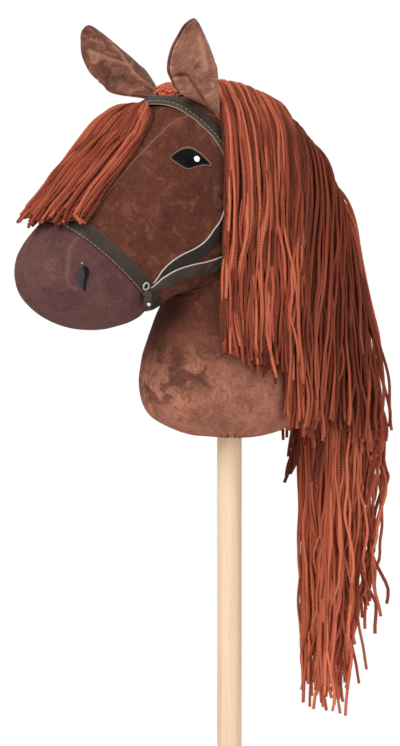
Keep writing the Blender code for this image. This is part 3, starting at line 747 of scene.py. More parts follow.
def face_outwards(bm: BMesh, outward: Vector) -> None:
    """Turn an open surface round where most of it looks the wrong way.

    Args:
        bm: The surface.
        outward: The way that it should look.
    """
    bmesh.ops.recalc_face_normals(bm, faces=bm.faces)
    total = Vector()
    for face in bm.faces:
        total += face.normal * face.calc_area()
    if total.dot(outward) < 0:
        bmesh.ops.reverse_faces(bm, faces=bm.faces)


def mirrored(bm: BMesh, side: Side) -> BMesh:
    """The mesh on the wanted side, from one made for the left."""
    if side is Side.RIGHT:
        bmesh.ops.scale(bm, vec=(-1.0, 1.0, 1.0), verts=bm.verts)
        bmesh.ops.reverse_faces(bm, faces=bm.faces)
    return bm


def dress(
    name: str, mesh: bpy.types.Mesh, finish: Finish, slot: str, nodes: Sequence[str] = (),
) -> Object:
    """Make a mesh a piece that rides on the head.

    Args:
        name: The piece's name.
        mesh: Its mesh.
        finish: Its finish.
        slot: The record's material slot; not used.
        nodes: The CAD nodes that it stands for.

    Returns:
        The piece.
    """
    piece = placed(name, mesh)
    mesh.materials.append(WARDROBE.get(finish))
    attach(piece, HEAD)
    if nodes:
        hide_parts(*nodes)
    log.info("%s: %d faces", name, len(mesh.polygons))
    return piece


def finish_piece(
    name: str, bm: BMesh, finish: Finish, slot: str, nodes: Sequence[str] = (),
    sharp: float = SMOOTH_TO,
) -> Object:
    """Turn a mesh into a dressed piece of the object.

    Args:
        name: The piece's name.
        bm: Its mesh, which is freed.
        finish: Its finish.
        slot: The record's material slot.
        nodes: The CAD nodes that it stands for.
        sharp: Edges sharper than this many degrees aren't smoothed.

    Returns:
        The piece.
    """
    mesh = stored(name, bm)
    mesh.shade_smooth()
    mesh.set_sharp_from_angle(angle=math.radians(sharp))
    return dress(name, mesh, finish, slot, nodes)


def thicken(piece: Object, thickness: float, offset: float) -> None:
    """Give an open sheet its thickness.

    Args:
        piece: The sheet.
        thickness: The thickness.
        offset: 1 where it grows outwards and -1 where it grows inwards.
    """
    step = piece.modifiers.new("thickness", "SOLIDIFY")
    step.thickness = thickness
    step.offset = offset
    step.use_even_offset = True


def soften(piece: Object, width: float) -> None:
    """Round the edges of a piece over a width."""
    step = piece.modifiers.new("edges", "BEVEL")
    step.width = width
    step.segments = 2
    step.limit_method = "ANGLE"
    step.angle_limit = math.radians(SMOOTH_TO)


# The stuffed form


def line_distance(
    x: float, y: float, line: Sequence[tuple[float, float]], scale: tuple = (1.0, 1.0),
) -> float:
    """How far a place lies from a polyline.

    Args:
        x: The place's first coordinate.
        y: Its second coordinate.
        line: The polyline's corners.
        scale: The length of a unit along each coordinate.

    Returns:
        The distance as a length.
    """
    here = Vector((x * scale[0], y * scale[1]))
    corners = [Vector((a * scale[0], b * scale[1])) for a, b in line]
    best = 1.0
    for start, end in zip(corners, corners[1:]):
        step = end - start
        share = min(max((here - start).dot(step) / step.length_squared, 0.0), 1.0)
        best = min(best, (here - start - step * share).length)
    return best


@dataclass
class StuffedForm:
    """The surface that every soft piece of the head and neck follows.

    A station is a closed section across the form: its point on the throat side, its
    point on the crest side (y, height) and its half width. The muzzle's sections are
    given from the noseband's plane: how far ahead of it, the lowest and the highest
    point along it, and the half width. Rows count sections from the mouth. Lumps are
    heights and how many lie in a metre. The fold beside the crease is given by its
    height, its distance and its width.
    """

    stations: tuple = (
        (-0.040, 0.0030, 0.040, 0.0030, 0.0320),
        (-0.066, 0.0110, 0.064, 0.0110, 0.0470),
        (-0.087, 0.0250, 0.081, 0.0250, 0.0585),
        (-0.0955, 0.051, 0.0865, 0.051, 0.0635),
        (-0.0925, 0.080, 0.0910, 0.084, 0.0625),
        (-0.0810, 0.112, 0.0990, 0.127, 0.0600),
        (-0.0685, 0.139, 0.1070, 0.174, 0.0580),
        (-0.0645, 0.1465, 0.109, 0.224, 0.0570),
        (-0.0665, 0.1465, 0.089, 0.282, 0.0575),
        (-0.0710, 0.1440, 0.040, 0.328, 0.0595),
        (-0.0765, 0.1410, -0.020, 0.348, 0.0615),
        (-0.0830, 0.1370, -0.078, 0.344, 0.0615),
        (-0.0900, 0.1335, -0.128, 0.306, 0.0585),
        (-0.0970, 0.1300, -0.172, 0.262, 0.0535),
        (-0.1045, 0.1280, -0.2114, 0.219, 0.0495),
    )
    muzzle: tuple = (
        (0.012, -0.0675, 0.0705, 0.0520),
        (0.028, -0.0585, 0.0700, 0.0525),
        (0.043, -0.0470, 0.0665, 0.0490),
        (0.057, -0.0310, 0.0580, 0.0420),
        (0.067, -0.0120, 0.0450, 0.0300),
        (0.0715, 0.0050, 0.0280, 0.0140),
    )
    muzzle_tip: tuple = (0.0725, 0.017)
    squareness: float = 2.4
    around: int = 176
    steps: int = 9
    gusset_span: tuple = (10.5, 15.0)
    gusset_edge: tuple = (0.0405, -0.12, 0.05)
    groove: float = 0.0011
    suede_groove: float = 0.0004
    groove_width: float = 0.0024
    seam_width: float = 0.0013
    lumps: tuple = ((0.0010, 22.0), (0.0006, 48.0))
    crease_width: float = 0.0018
    crease_depth: float = 0.0020
    crease_fold: tuple = (0.0010, 0.004, 0.003)
    gathers: int = 26
    gather_height: float = 0.0016
    gather_rows: tuple = (1.0, 2.6)
    jaw_row: float = 8.6
    jaw_width: float = 1.4
    jaw_height: float = 0.0014
    cheek_from: float = 0.02
    nostril_crease: tuple = (
        (-0.1939, 0.2066), (-0.2029, 0.1993), (-0.2089, 0.1921), (-0.2115, 0.1820),
        (-0.2132, 0.1721), (-0.2143, 0.1652), (-0.2115, 0.1562), (-0.2043, 0.1530),
    )
    rows: np.ndarray = field(init=False)
    fabric: bpy.types.Mesh = field(init=False)
    tree: BVHTree = field(init=False)

    def __post_init__(self) -> None:
        """Work out the sections and the surface."""
        mouth = TUBE_RADIUS * 0.8
        keys = [(-mouth, 0.0, mouth, 0.0, mouth)]
        keys += list(self.stations)
        centre, up, forward = self.noseband_frame()
        for reach, low, high, width in self.muzzle:
            base = centre + forward * reach
            a, b = base + up * low, base + up * high
            keys.append((a.y, a.z - MOUTH, b.y, b.z - MOUTH, width))
        tip = centre + forward * self.muzzle_tip[0] + up * self.muzzle_tip[1]
        keys.append((tip.y, tip.z - MOUTH, tip.y, tip.z - MOUTH, 0.0))
        self.rows = curve_through(keys, self.steps)
        self.rows[:, 4] = np.maximum(self.rows[:, 4], 0.0)
        bm = self.mesh()
        self.tree = BVHTree.FromBMesh(bm)
        self.fabric = stored("fabric", bm)

    def noseband_frame(self) -> tuple[Vector, Vector, Vector]:
        """The plane between the plush and the muzzle.

        Returns:
            Its centre, its upward direction and the way to the muzzle.
        """
        low_y, low_z, high_y, high_z, _ = self.stations[-1]
        low = Vector((0.0, low_y, low_z + MOUTH))
        high = Vector((0.0, high_y, high_z + MOUTH))
        up = (high - low).normalized()
        return (low + high) / 2, up, Vector((0.0, -up.z, up.y))

    def point(self, row: float, angle: float) -> Vector:
        """A point of the plain surface.

        Args:
            row: Place along the form, in control sections from the mouth.
            angle: Place round the section: 0 at the throat, pi at the crest.

        Returns:
            The point in the frame.
        """
        place = min(max(row * self.steps, 0.0), len(self.rows) - 1.0)
        lower = min(int(place), len(self.rows) - 2)
        share = place - lower
        y0, z0, y1, z1, width = self.rows[lower] * (1 - share) + self.rows[lower + 1] * share
        power = 2 / self.squareness
        side, along = math.sin(angle), math.cos(angle)
        across = squared(side, power) * width
        reach = -squared(along, power)
        return Vector((
            across, (y0 + y1) / 2 + (y1 - y0) / 2 * reach,
            (z0 + z1) / 2 + (z1 - z0) / 2 * reach + MOUTH,
        ))

    @property
    def muzzle_row(self) -> float:
        """The row of the muzzle's seam."""
        return float(len(self.stations))

    @property
    def last_row(self) -> float:
        """The row of the muzzle's tip."""
        return (len(self.rows) - 1) / self.steps

    def gusset_half(self, y: float) -> float:
        """Half width of the forehead gusset at a place along the head."""
        width, at, slope = self.gusset_edge
        return width + slope * (y - at)

    def seam_distance(self, point: Vector, row: float, reach: float) -> float:
        """How far a point of the surface lies from the nearest seam.

        Args:
            point: The point.
            row: Its row.
            reach: Its side: 1 on the crest and -1 at the throat.

        Returns:
            The distance.
        """
        first, last = self.gusset_span
        over_gusset = reach > 0 and first < row < last
        middle = abs(abs(point.x) - self.gusset_half(point.y)) if over_gusset else abs(point.x)
        centre, _, forward = self.noseband_frame()
        around_muzzle = abs((point - centre).dot(forward)) if row > self.muzzle_row - 2 else 1.0
        return min(middle, around_muzzle)

    def unevenness(self, point: Vector, row: float, angle: float, reach: float) -> float:
        """The height of the fabric over the plain form: seams, gathers, lumps, creases.

        Args:
            point: A point of the plain form.
            row: Its row.
            angle: Its angle.
            reach: Its side: 1 on the crest and -1 at the throat.

        Returns:
            The height.
        """
        groove = self.suede_groove if row > self.muzzle_row else self.groove
        lift = -groove * bell(self.seam_distance(point, row, reach), self.groove_width)
        lift += sum(height * noise.noise(point * pace) for height, pace in self.lumps)
        gather = self.gather_height * (1.0 - eased(*self.gather_rows, row))
        lift += gather * math.sin(self.gathers * angle + 2.5 * noise.noise(point * 30.0))
        under = eased(0.2, 0.9, -reach)
        jaw = self.jaw_height * (bell(row - self.jaw_row, self.jaw_width) * under)
        lift += jaw * math.sin(9.0 * row + 4.0 * noise.noise(point * 14.0))
        if row > self.muzzle_row:
            near = self.crease_distance(point)
            high, away, wide = self.crease_fold
            lift += high * bell(near - away, wide)
            lift -= self.crease_depth * bell(near, self.crease_width)
        return lift

    def crease_distance(self, point: Vector) -> float:
        """How far a point of the muzzle lies from the crease in front of the nostril."""
        if abs(point.x) <= self.cheek_from:
            return 1.0
        return line_distance(point.y, point.z - MOUTH, self.nostril_crease)

    def mesh(self) -> BMesh:
        """The whole fabric surface, open only at the neck's mouth.

        Returns:
            A mesh whose points hold their row and reach, and how near a seam is.
        """
        bm = bmesh.new()
        row_layer, reach_layer, angle_layer, seam_layer = (
            bm.verts.layers.float.new(name) for name in ("row", "reach", "turn", "seam")
        )
        count = len(self.rows) - 1
        share_grid(self.around, count, bm)
        for vert in bm.verts:
            angle, row = 2 * math.pi * vert.co.x, vert.co.y * self.last_row
            vert[row_layer] = row
            vert[angle_layer] = angle
            vert[reach_layer] = -math.cos(angle)
            vert.co = self.point(row, angle)
        weld_closed(bm)
        bm.normal_update()
        moves = []
        for vert in bm.verts:
            row, reach = vert[row_layer], vert[reach_layer]
            moves.append(vert.normal * self.unevenness(vert.co, row, vert[angle_layer], reach))
            if row > self.muzzle_row:
                vert[seam_layer] = bell(self.crease_distance(vert.co), self.crease_width)
            else:
                near = self.seam_distance(vert.co, row, reach)
                vert[seam_layer] = bell(near, self.seam_width)
        for vert, move in zip(bm.verts, moves):
            vert.co += move
        bm.normal_update()
        return bm

    def nearest(self, point: Vector) -> tuple[Vector, Vector]:
        """The surface point nearest to a point, and its outward normal."""
        hit, normal, _, _ = self.tree.find_nearest(point)
        return hit, normal

    def from_side(self, y: float, height: float) -> tuple[Vector, Vector]:
        """Where a line along X meets the left side.

        Args:
            y: Where the line lies along the head.
            height: Its height over the mouth.

        Returns:
            The point and its outward normal.
        """
        start = Vector((0.5, y, height + MOUTH))
        hit, normal, _, _ = self.tree.ray_cast(start, -LEFTWARD)
        return hit, normal

    def crest(self, row: float) -> tuple[Vector, Vector]:
        """A point of the crest.

        Args:
            row: Its row.

        Returns:
            The point and the outward direction there.
        """
        top = self.point(row, math.pi)
        step = self.point(row + 0.05, math.pi) - self.point(row - 0.05, math.pi)
        out = Vector((0.0, step.z, -step.y)).normalized()
        low = self.point(row, 0.0)
        return top, out if out.dot(top - low) > 0 else -out


@dataclass
class Covers:
    """The sewn fabric: two side panels, the forehead gusset and the muzzle's halves."""

    form: StuffedForm
    thickness: float = 0.0016
    fill: float = 0.95
    seam_cord: float = 0.0006
    seam_points: int = 90
    panels: tuple = (
        ("plush_side_left", PLUSH, "plush", "side_panel_left"),
        ("plush_side_right", PLUSH, "plush", "side_panel_right"),
        ("plush_forehead", PLUSH, "plush", "forehead_gusset"),
        ("suede_muzzle_left", SUEDE, "suede", "muzzle_panel_left"),
        ("suede_muzzle_right", SUEDE, "suede", "muzzle_panel_right"),
    )

    def build(self) -> None:
        """Cut the surface along its seams and dress each panel."""
        width, at, slope = self.form.gusset_edge
        first, last = self.form.gusset_span
        for name, finish, slot, node in self.panels:
            bm = bmesh.new()
            bm.from_mesh(self.form.fabric)
            row_layer = bm.verts.layers.float["row"]
            reach_layer = bm.verts.layers.float["reach"]

            def over_gusset(face: bmesh.types.BMFace) -> bool:
                """Whether the face lies on the forehead's stretch of the crest side."""
                rows = [v[row_layer] for v in face.verts]
                middle = sum(rows) / len(rows)
                return first < middle < last and face.verts[0][reach_layer] > 0

            for sign in (1, -1):
                faces = [f for f in bm.faces if over_gusset(f)]
                geometry = faces + [e for f in faces for e in f.edges]
                geometry += list({v for f in faces for v in f.verts})
                bmesh.ops.bisect_plane(
                    bm, geom=list(dict.fromkeys(geometry)), dist=0.000001,
                    plane_co=(sign * width, at, 0), plane_no=(sign, -slope, 0),
                )
            away = []
            for face in bm.faces:
                middle = face.calc_center_median()
                row = sum(v[row_layer] for v in face.verts) / len(face.verts)
                if row > self.form.muzzle_row:
                    home = "suede_muzzle"
                elif over_gusset(face) and abs(middle.x) < self.form.gusset_half(middle.y):
                    home = "plush_forehead"
                else:
                    home = "plush_side"
                if home != "plush_forehead":
                    home += "_left" if middle.x > 0 else "_right"
                if home != name:
                    away.append(face)
            bmesh.ops.delete(bm, geom=away, context="FACES")
            piece = finish_piece(name, bm, finish, slot, (node,))
            thicken(piece, self.thickness, -1.0)
        self.sew_forehead()

    def sew_forehead(self) -> None:
        """Raise the seams between the forehead gusset and the side panels."""
        first, last = self.form.gusset_span
        points = []
        for row in np.linspace(first + 0.1, last, self.seam_points):
            top, out = self.form.crest(row)
            start = top + out * 0.06 + LEFTWARD * self.form.gusset_half(top.y)
            hit, normal, _, _ = self.form.tree.ray_cast(start, -out)
            points.append(hit + normal * 0.0001)
        radii = (self.seam_cord,)
        for side in Side:
            Rim(
                self.form, "forehead_seam", points, radii, SEAM_PLUSH, "plush", closed=False
            ).build(side)


@dataclass
class Filling:
    """The fibre wads inside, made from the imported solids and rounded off."""

    wads: tuple = ("neck", "head", "muzzle")
    fill: float = 0.9
    rounding: float = 0.3

    def build(self) -> None:
        """Copy each wad, soften it and dress it."""
        for wad in self.wads:
            node = f"{wad}_stuffing"
            bm = bmesh.new()
            bm.from_mesh(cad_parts[node].data)
            bm.transform(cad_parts[node].matrix_world)
            weld(bm)
            bmesh.ops.smooth_vert(
                bm, verts=bm.verts, factor=self.rounding, use_axis_x=True, use_axis_y=True,
                use_axis_z=True,
            )
            piece = finish_piece(f"wad_{wad}", bm, FILLING, "filling", (node,))


# Straps


@dataclass
class Strap:
    """A flat strap that lies on the form along a route, with stitching.

    Stitch lines are shares of the half width, and pale names the edges that show their
    cut: 1, -1 or both. An anchored strap keeps that edge on its route. The taper is the
    length over which its ends narrow, and the crown is how far it stands off on top of
    the head.
    """

    form: StuffedForm
    name: str
    node: str
    width: float
    lift: float
    thickness: float
    route: list
    finish: Leathercloth = STRAP
    slot: str = "strap_leather"
    closed: bool = False
    anchor: float = 0.0
    taper: float = 0.0
    end_width: float = 0.25
    crown: float = 0.0
    crown_reach: float = 0.05
    pale: tuple = (1,)
    stitch_lines: tuple = ()
    stitch: float = 0.0044
    stitch_gap: float = 0.0003
    thread: float = 0.00036
    column: float = 0.0022
    rows: int = 10
    bevel: float = 0.0003
    count: int = field(init=False, default=0)

    def frames(self) -> list[tuple[Vector, Vector, Vector]]:
        """Even steps along the route.

        Returns:
            The centre, the direction across and the normal at each.
        """
        points = np.array([tuple(p) for p in self.route])
        length = float(np.linalg.norm(np.diff(points, axis=0), axis=1).sum())
        self.count = max(int(length / self.column), 8)
        even = [Vector(p) for p in evened(points, self.count + 1)]
        found = []
        for i, point in enumerate(even):
            before, after = (
                even[k % self.count if self.closed else min(max(k, 0), self.count)]
                for k in (i - 1, i + 1)
            )
            _, normal = self.form.nearest(point)
            along = (after - before).normalized()
            across = normal.cross(along).normalized()
            if self.anchor:
                away = across * (self.anchor * self.width / 2)
                point, normal = self.form.nearest(point - away)
                across = normal.cross(along).normalized()
            found.append((point, across, along.cross(across).normalized()))
        return found

    def surface(self, frames: list, along: float, across: float, lift: float) -> Vector:
        """A point on the strap.

        Args:
            frames: What the frames method returned.
            along: Share along the route.
            across: Share of the half width, from -1 to 1.
            lift: Height over the form.

        Returns:
            The point.
        """
        place = along * self.count
        lower = min(int(place), self.count - 1)
        share = place - lower
        a, b = frames[lower], frames[lower + 1]
        centre = a[0].lerp(b[0], share)
        side = a[1].lerp(b[1], share).normalized()
        if self.taper:
            end = min(along, 1 - along) * self.count * self.column
            narrow = self.end_width + (1 - self.end_width) * eased(0.0, self.taper, end)
            across = self.anchor * (1 - narrow) + across * narrow
        hit, normal = self.form.nearest(centre + side * (across * self.width / 2))
        lift += self.crown * max(0.0, 1 - (hit.x / self.crown_reach) ** 2)
        smooth = a[2].lerp(b[2], share)
        outward = (normal + smooth * (1 if smooth.dot(normal) > 0 else -1) * 2).normalized()
        return hit + outward * lift

    def build(self) -> Object:
        """Make the strap and its stitches."""
        frames = self.frames()
        bm = bmesh.new()
        edge = bm.verts.layers.float.new("edge")
        share_grid(self.count, self.rows, bm)
        for vert in bm.verts:
            u, v = vert.co.x, vert.co.y
            vert[edge] = max((2 * v - 1) * sign for sign in self.pale)
            vert.co = self.surface(frames, u, 2 * v - 1, self.lift)
        if self.closed:
            weld(bm, 0.0004)
        bmesh.ops.recalc_face_normals(bm, faces=bm.faces)
        face = next(iter(bm.faces))
        _, normal = self.form.nearest(face.calc_center_median())
        if face.normal.dot(normal) < 0:
            bmesh.ops.reverse_faces(bm, faces=bm.faces)
        piece = finish_piece(self.name, bm, self.finish, self.slot, (self.node,))
        thicken(piece, self.thickness, 1.0)
        soften(piece, self.bevel)
        if self.stitch_lines:
            self.sew(frames)
        return piece

    def sew(self, frames: list) -> None:
        """Put a row of stitches along each stitch line.

        Args:
            frames: What the frames method returned.
        """
        bm = bmesh.new()
        length = sum((b[0] - a[0]).length for a, b in zip(frames, frames[1:]))
        step = self.stitch + self.stitch_gap
        count = int(length / step)
        height = self.lift + self.thickness
        for line in self.stitch_lines:
            for k in range(count):
                start, end = (
                    self.surface(frames, (k + 0.15 + run) / count, line, height)
                    for run in (0.0, self.stitch / step)
                )
                along = end - start
                turn = along.to_track_quat("X", "Z").to_matrix().to_4x4()
                size = Matrix.Diagonal((along.length / 2, self.thread, self.thread, 1.0))
                place = Matrix.Translation((start + end) / 2) @ turn @ size
                bmesh.ops.create_icosphere(bm, subdivisions=1, radius=1.0, matrix=place)
        finish_piece(f"{self.name}_stitching", bm, THREAD, self.slot)


def onto_crest(
    form: StuffedForm, points: Sequence[tuple[float, float]], row: float,
) -> list[Vector]:
    """A route over the head: from the left side across the crest to the right side.

    Args:
        form: The stuffed form.
        points: The left stretch, seen from the side (y, height), starting low.
        row: The form's row where the route crosses the crest.

    Returns:
        The route's points.
    """
    left = [form.from_side(y, h)[0] for y, h in points]
    top = form.crest(row)[0]
    keys = [tuple(p) for p in left] + [tuple(top)]
    keys += [(-p.x, p.y, p.z) for p in reversed(left)]
    return [form.nearest(Vector(p))[0] for p in curve_through(keys, 10)]


@dataclass
class Bridle:
    """The straps, their tabs and the studs."""

    form: StuffedForm
    noseband_width: float = 0.0150
    noseband_edge: float = 0.0001
    noseband_points: int = 160
    backing_width: float = 0.0165
    headpiece_width: float = 0.0130
    cheek_width: float = 0.0135
    rein_width: float = 0.0150
    thickness: float = 0.0016
    lining: float = 0.0007
    gap: float = 0.0003
    crown: float = 0.0038
    taper: float = 0.022
    headpiece: tuple = (
        (-0.0300, 0.268), (-0.0340, 0.288), (-0.0460, 0.308), (-0.0560, 0.3185),
        (-0.0660, 0.3280), (-0.0750, 0.3345),
    )
    headpiece_row: float = 12.24
    cheek: tuple = (
        (-0.1228, 0.1546), (-0.1180, 0.1562), (-0.1130, 0.1628), (-0.1083, 0.1709),
        (-0.0982, 0.1804), (-0.0873, 0.1869), (-0.0747, 0.1923), (-0.0635, 0.1996),
        (-0.0548, 0.2103), (-0.0455, 0.2223), (-0.0405, 0.2400), (-0.0370, 0.2600),
        (-0.0365, 0.2680),
    )
    rein: tuple = (
        (-0.1228, 0.1538), (-0.1180, 0.1550), (-0.1140, 0.1584), (-0.1083, 0.1634),
        (-0.1000, 0.1686), (-0.0902, 0.1731), (-0.0759, 0.1770), (-0.0564, 0.1805),
        (-0.0398, 0.1844), (0.0000, 0.1875), (0.0500, 0.1900), (0.0850, 0.1925),
    )
    rein_row: float = 7.38

    def noseband_route(self) -> list[Vector]:
        """The ring on which the noseband's middle lies."""
        centre, up, forward = self.form.noseband_frame()
        middle = centre - forward * (self.noseband_edge + self.noseband_width / 2)
        ring = []
        for k in range(self.noseband_points + 1):
            angle = 2 * math.pi * k / self.noseband_points
            ray = LEFTWARD * math.sin(angle) + up * -math.cos(angle)
            hit, _, _, _ = self.form.tree.ray_cast(middle + ray * 0.001, ray)
            ring.append(hit)
        return ring

    def cheek_route(self, side: Side) -> list[Vector]:
        """The line on which the cheek strap of a side lies."""
        hits = [self.form.from_side(*point)[0] for point in curve_through(self.cheek, 6)]
        return [Vector((hit.x * side.value, hit.y, hit.z)) for hit in hits]

    def build(self) -> None:
        """Make every strap."""
        form, gap = self.form, self.gap
        Strap(
            form, "noseband_strap", "noseband", self.noseband_width, gap, self.thickness,
            self.noseband_route(), BAND, closed=True, pale=(-1, 1), stitch_lines=(0.88,),
        ).build()
        over = onto_crest(form, self.headpiece, self.headpiece_row)
        Strap(
            form, "headpiece_backing", "headpiece_lining", self.backing_width, gap,
            self.lining, over, LINING, "strap_lining", crown=self.crown,
        ).build()
        Strap(
            form, "headpiece_strap", "headpiece", self.headpiece_width,
            gap * 2 + self.lining, self.lining, over, BAND, crown=self.crown,
            stitch_lines=(0.62,),
        ).build()
        for side in Side:
            # The cheek straps take the darker leather as painted shade.
            Strap(
                form, f"cheekpiece_{side.word}", f"cheek_strap_{side.word}",
                self.cheek_width, gap, self.thickness, self.cheek_route(side), PAINTED_SHADE_STRAP,
                anchor=float(side.value), taper=self.taper, pale=(side.value,),
            ).build()
            StrapEnd(form, side).build()
        Strap(
            form, "rein_strap", "rein", self.rein_width, gap * 2 + self.thickness,
            self.thickness, onto_crest(form, self.rein, self.rein_row), anchor=1.0,
            taper=self.taper,
        ).build()


@dataclass
class StrapEnd:
    """Where cheek strap, rein and noseband meet: a loop, a sewn stub and its rivet.

    Places are seen from the side (y, height), and lifts are heights over the form.
    """

    form: StuffedForm
    side: Side
    loop_place: tuple = (-0.1258, 0.1542)
    loop_lift: float = 0.0042
    loop_radius: float = 0.0030
    loop_cord: float = 0.0009
    loop_lean: float = 0.0012
    loop_tall: float = 1.15
    stub_top: tuple = (-0.1236, 0.1500)
    stub_bottom: tuple = (-0.1222, 0.1330)
    stub_lift: float = 0.0050
    stub_half: tuple = (0.0044, 0.0020)
    stub_roundness: float = 0.6
    stub_lean: float = 0.0006
    ribs: int = 4
    rib_height: float = 0.11
    rivet_radius: float = 0.0021
    rivet_height: float = 0.0009
    rivet_place: tuple = (0.0003, -0.0002, 0.0030)

    def build(self) -> None:
        """Make the three pieces on this side."""
        word = self.side.word
        hit, _ = self.form.from_side(*self.loop_place)
        heart = hit + LEFTWARD * self.loop_lift

        def loop(u: float, v: float) -> Vector:
            """The point round the cord and round the loop."""
            a, b = 2 * math.pi * u, 2 * math.pi * v
            reach = self.loop_radius + self.loop_cord * math.cos(a)
            return heart + Vector((
                self.loop_cord * math.sin(a) + self.loop_lean * math.sin(b),
                reach * math.cos(b), reach * math.sin(b) * self.loop_tall,
            ))

        self.finish(mapped_grid(10, 28, loop), f"strap_loop_{word}", PALE_EDGE, ())
        top = self.form.from_side(*self.stub_top)[0] + LEFTWARD * self.stub_lift
        low_y, low_z = self.stub_bottom
        low = Vector((top.x - self.stub_lean, low_y, low_z + MOUTH))

        def stub(u: float, v: float) -> Vector:
            """The point round the stub and down it."""
            angle = 2 * math.pi * u
            end = max(1 - (2 * v - 1) ** 12, 0.0) ** 0.5
            rib = 1 + self.rib_height * math.sin(2 * math.pi * self.ribs * v)
            wide, thick = (h * end * rib for h in self.stub_half)
            y = squared(math.cos(angle), self.stub_roundness) * wide
            x = squared(math.sin(angle), self.stub_roundness) * thick
            return top.lerp(low, v) + Vector((x, y, 0.0))

        self.finish(mapped_grid(24, 44, stub), f"strap_end_{word}", STRAP, (f"strap_tab_{word}",))
        spot = low + LEFTWARD * self.stub_half[1] + Vector(self.rivet_place)

        def rivet(u: float, v: float) -> Vector:
            """The point round the rivet's head and in towards its middle."""
            angle, share = 2 * math.pi * u, 1 - v
            rise = self.rivet_height * (1 - share**4)
            reach = self.rivet_radius * share
            return spot + Vector((rise, reach * math.cos(angle), reach * math.sin(angle)))

        bm = mapped_grid(20, 6, rivet)
        self.finish(bm, f"rivet_{word}", STUD_METAL, (f"strap_stud_{word}",), "stud_metal")

    def finish(
        self, bm: BMesh, name: str, finish: Finish, nodes: tuple,
        slot: str = "strap_leather",
    ) -> None:
        """Close a mesh made for the left, put it on this side and dress it.

        Args:
            bm: The mesh, which is freed.
            name: The piece's name.
            finish: Its finish.
            nodes: The CAD nodes that it stands for.
            slot: The record's material slot.
        """
        weld(bm)
        holes = [e for e in bm.edges if e.is_boundary]
        if holes:
            bmesh.ops.holes_fill(bm, edges=holes, sides=0)
        bmesh.ops.recalc_face_normals(bm, faces=bm.faces)
        mirrored(bm, self.side)
        finish_piece(name, bm, finish, slot, nodes)


# Face


def closed_curve(keys: Sequence[tuple[float, float]], steps: int) -> np.ndarray:
    """A smooth closed outline through some keys, without its last point repeated."""
    ring = [keys[-1], *keys, keys[0], keys[1]]
    return curve_through(ring, steps)[steps : -steps - 1]


def oval(place: tuple[float, float], length: float, height: float) -> list[tuple]:
    """Keys of an oval outline (y, height).

    Args:
        place: Its middle.
        length: Its size along y.
        height: Its size upwards.

    Returns:
        Twelve keys.
    """
    turns = [math.pi * k / 6 for k in range(12)]
    return [
        (place[0] + math.cos(a) * length / 2, place[1] + math.sin(a) * height / 2) for a in turns
    ]


@dataclass
class Applique:
    """A shape applied to the left side of the face, or mirrored to the right.

    Its keys are places (y, height) seen from the side. Low is the gap under it, height
    its own thickness, and dome how much higher its middle stands.
    """

    form: StuffedForm
    name: str
    keys: Sequence[tuple]
    low: float
    height: float
    dome: float
    finish: Plain
    slot: str
    nodes: tuple = ()

    def lay(self, bm: BMesh, side: Side) -> Object:
        """Dress a sheet made for the left on one side and give it its thickness."""
        face_outwards(bm, LEFTWARD)
        mirrored(bm, side)
        piece = finish_piece(f"{self.name}_{side.word}", bm, self.finish, self.slot, self.nodes)
        thicken(piece, self.height, 1.0)
        return piece

    def spot(self, y: float, height: float, lift: float) -> Vector:
        """A point over the face."""
        hit, normal = self.form.from_side(y, height)
        return hit + normal * lift


@dataclass
class Patch(Applique):
    """A flat shape whose keys are its outline."""

    steps: int = 5
    rings: int = 8

    def build(self, side: Side) -> Object:
        """Make the patch on one side."""
        ring = closed_curve(self.keys, self.steps)
        middle = ring.mean(axis=0)

        def place(u: float, v: float) -> Vector:
            """The point at a place on the rim and a share of the way in from it."""
            y, z = middle + (ring[round(u * len(ring)) % len(ring)] - middle) * (1 - v)
            return self.spot(y, z, self.low + self.dome * (1 - (1 - v) ** 2))

        bm = mapped_grid(len(ring), self.rings, place)
        weld(bm)
        piece = self.lay(bm, side)
        soften(piece, self.height * 0.4)
        return piece


class Crescent(Applique):
    """A curved shape that tapers to a tail; its keys are its spine and half widths."""

    def build(self, side: Side) -> Object:
        """Make the shape on one side."""
        spine = curve_through(self.keys, 8)

        def place(u: float, v: float) -> Vector:
            """The point across the spine and along it."""
            k = round(v * (len(spine) - 1))
            ahead = spine[min(k + 1, len(spine) - 1), :2] - spine[max(k - 1, 0), :2]
            ahead /= np.linalg.norm(ahead)
            reach = (2 * u - 1) * spine[k, 2]
            lift = self.low + self.dome * (1 - (2 * u - 1) ** 2)
            return self.spot(spine[k, 0] - ahead[1] * reach, spine[k, 1] + ahead[0] * reach, lift)

        return self.lay(mapped_grid(6, len(spine) - 1, place), side)


@dataclass
class Rim:
    """A sewn edge: a round cord laid on the form along a closed or open line.

    The radii go with the points, and one alone holds for all of them.
    """

    form: StuffedForm
    name: str
    points: list
    radii: Sequence[float]
    finish: Plain
    slot: str
    nodes: tuple = ()
    closed: bool = True
    sides: int = 8

    def build(self, side: Side) -> Object:
        """Make the edge on one side."""
        points = [Vector(p) for p in self.points]
        count = len(points)
        spans = count if self.closed else count - 1
        bm = bmesh.new()

        def place(u: float, v: float) -> Vector:
            """The point round the cord and along it."""
            index = round(v * spans)
            here = points[index % count]
            radius = self.radii[index % len(self.radii)]
            behind, ahead = (
                points[k % count if self.closed else min(max(k, 0), spans)]
                for k in (index - 1, index + 1)
            )
            if not self.closed and index in (0, spans):
                radius = 0.0
            along = (ahead - behind).normalized()
            _, out = self.form.nearest(here)
            across = out.cross(along).normalized()
            angle = 2 * math.pi * u
            return here + (across * math.cos(angle) + out * math.sin(angle)) * radius

        mapped_grid(self.sides, spans, place, bm)
        weld_closed(bm, WELD / 2)
        mirrored(bm, side)
        return finish_piece(
            f"{self.name}_{side.word}", bm, self.finish, self.slot, self.nodes, sharp=80
        )


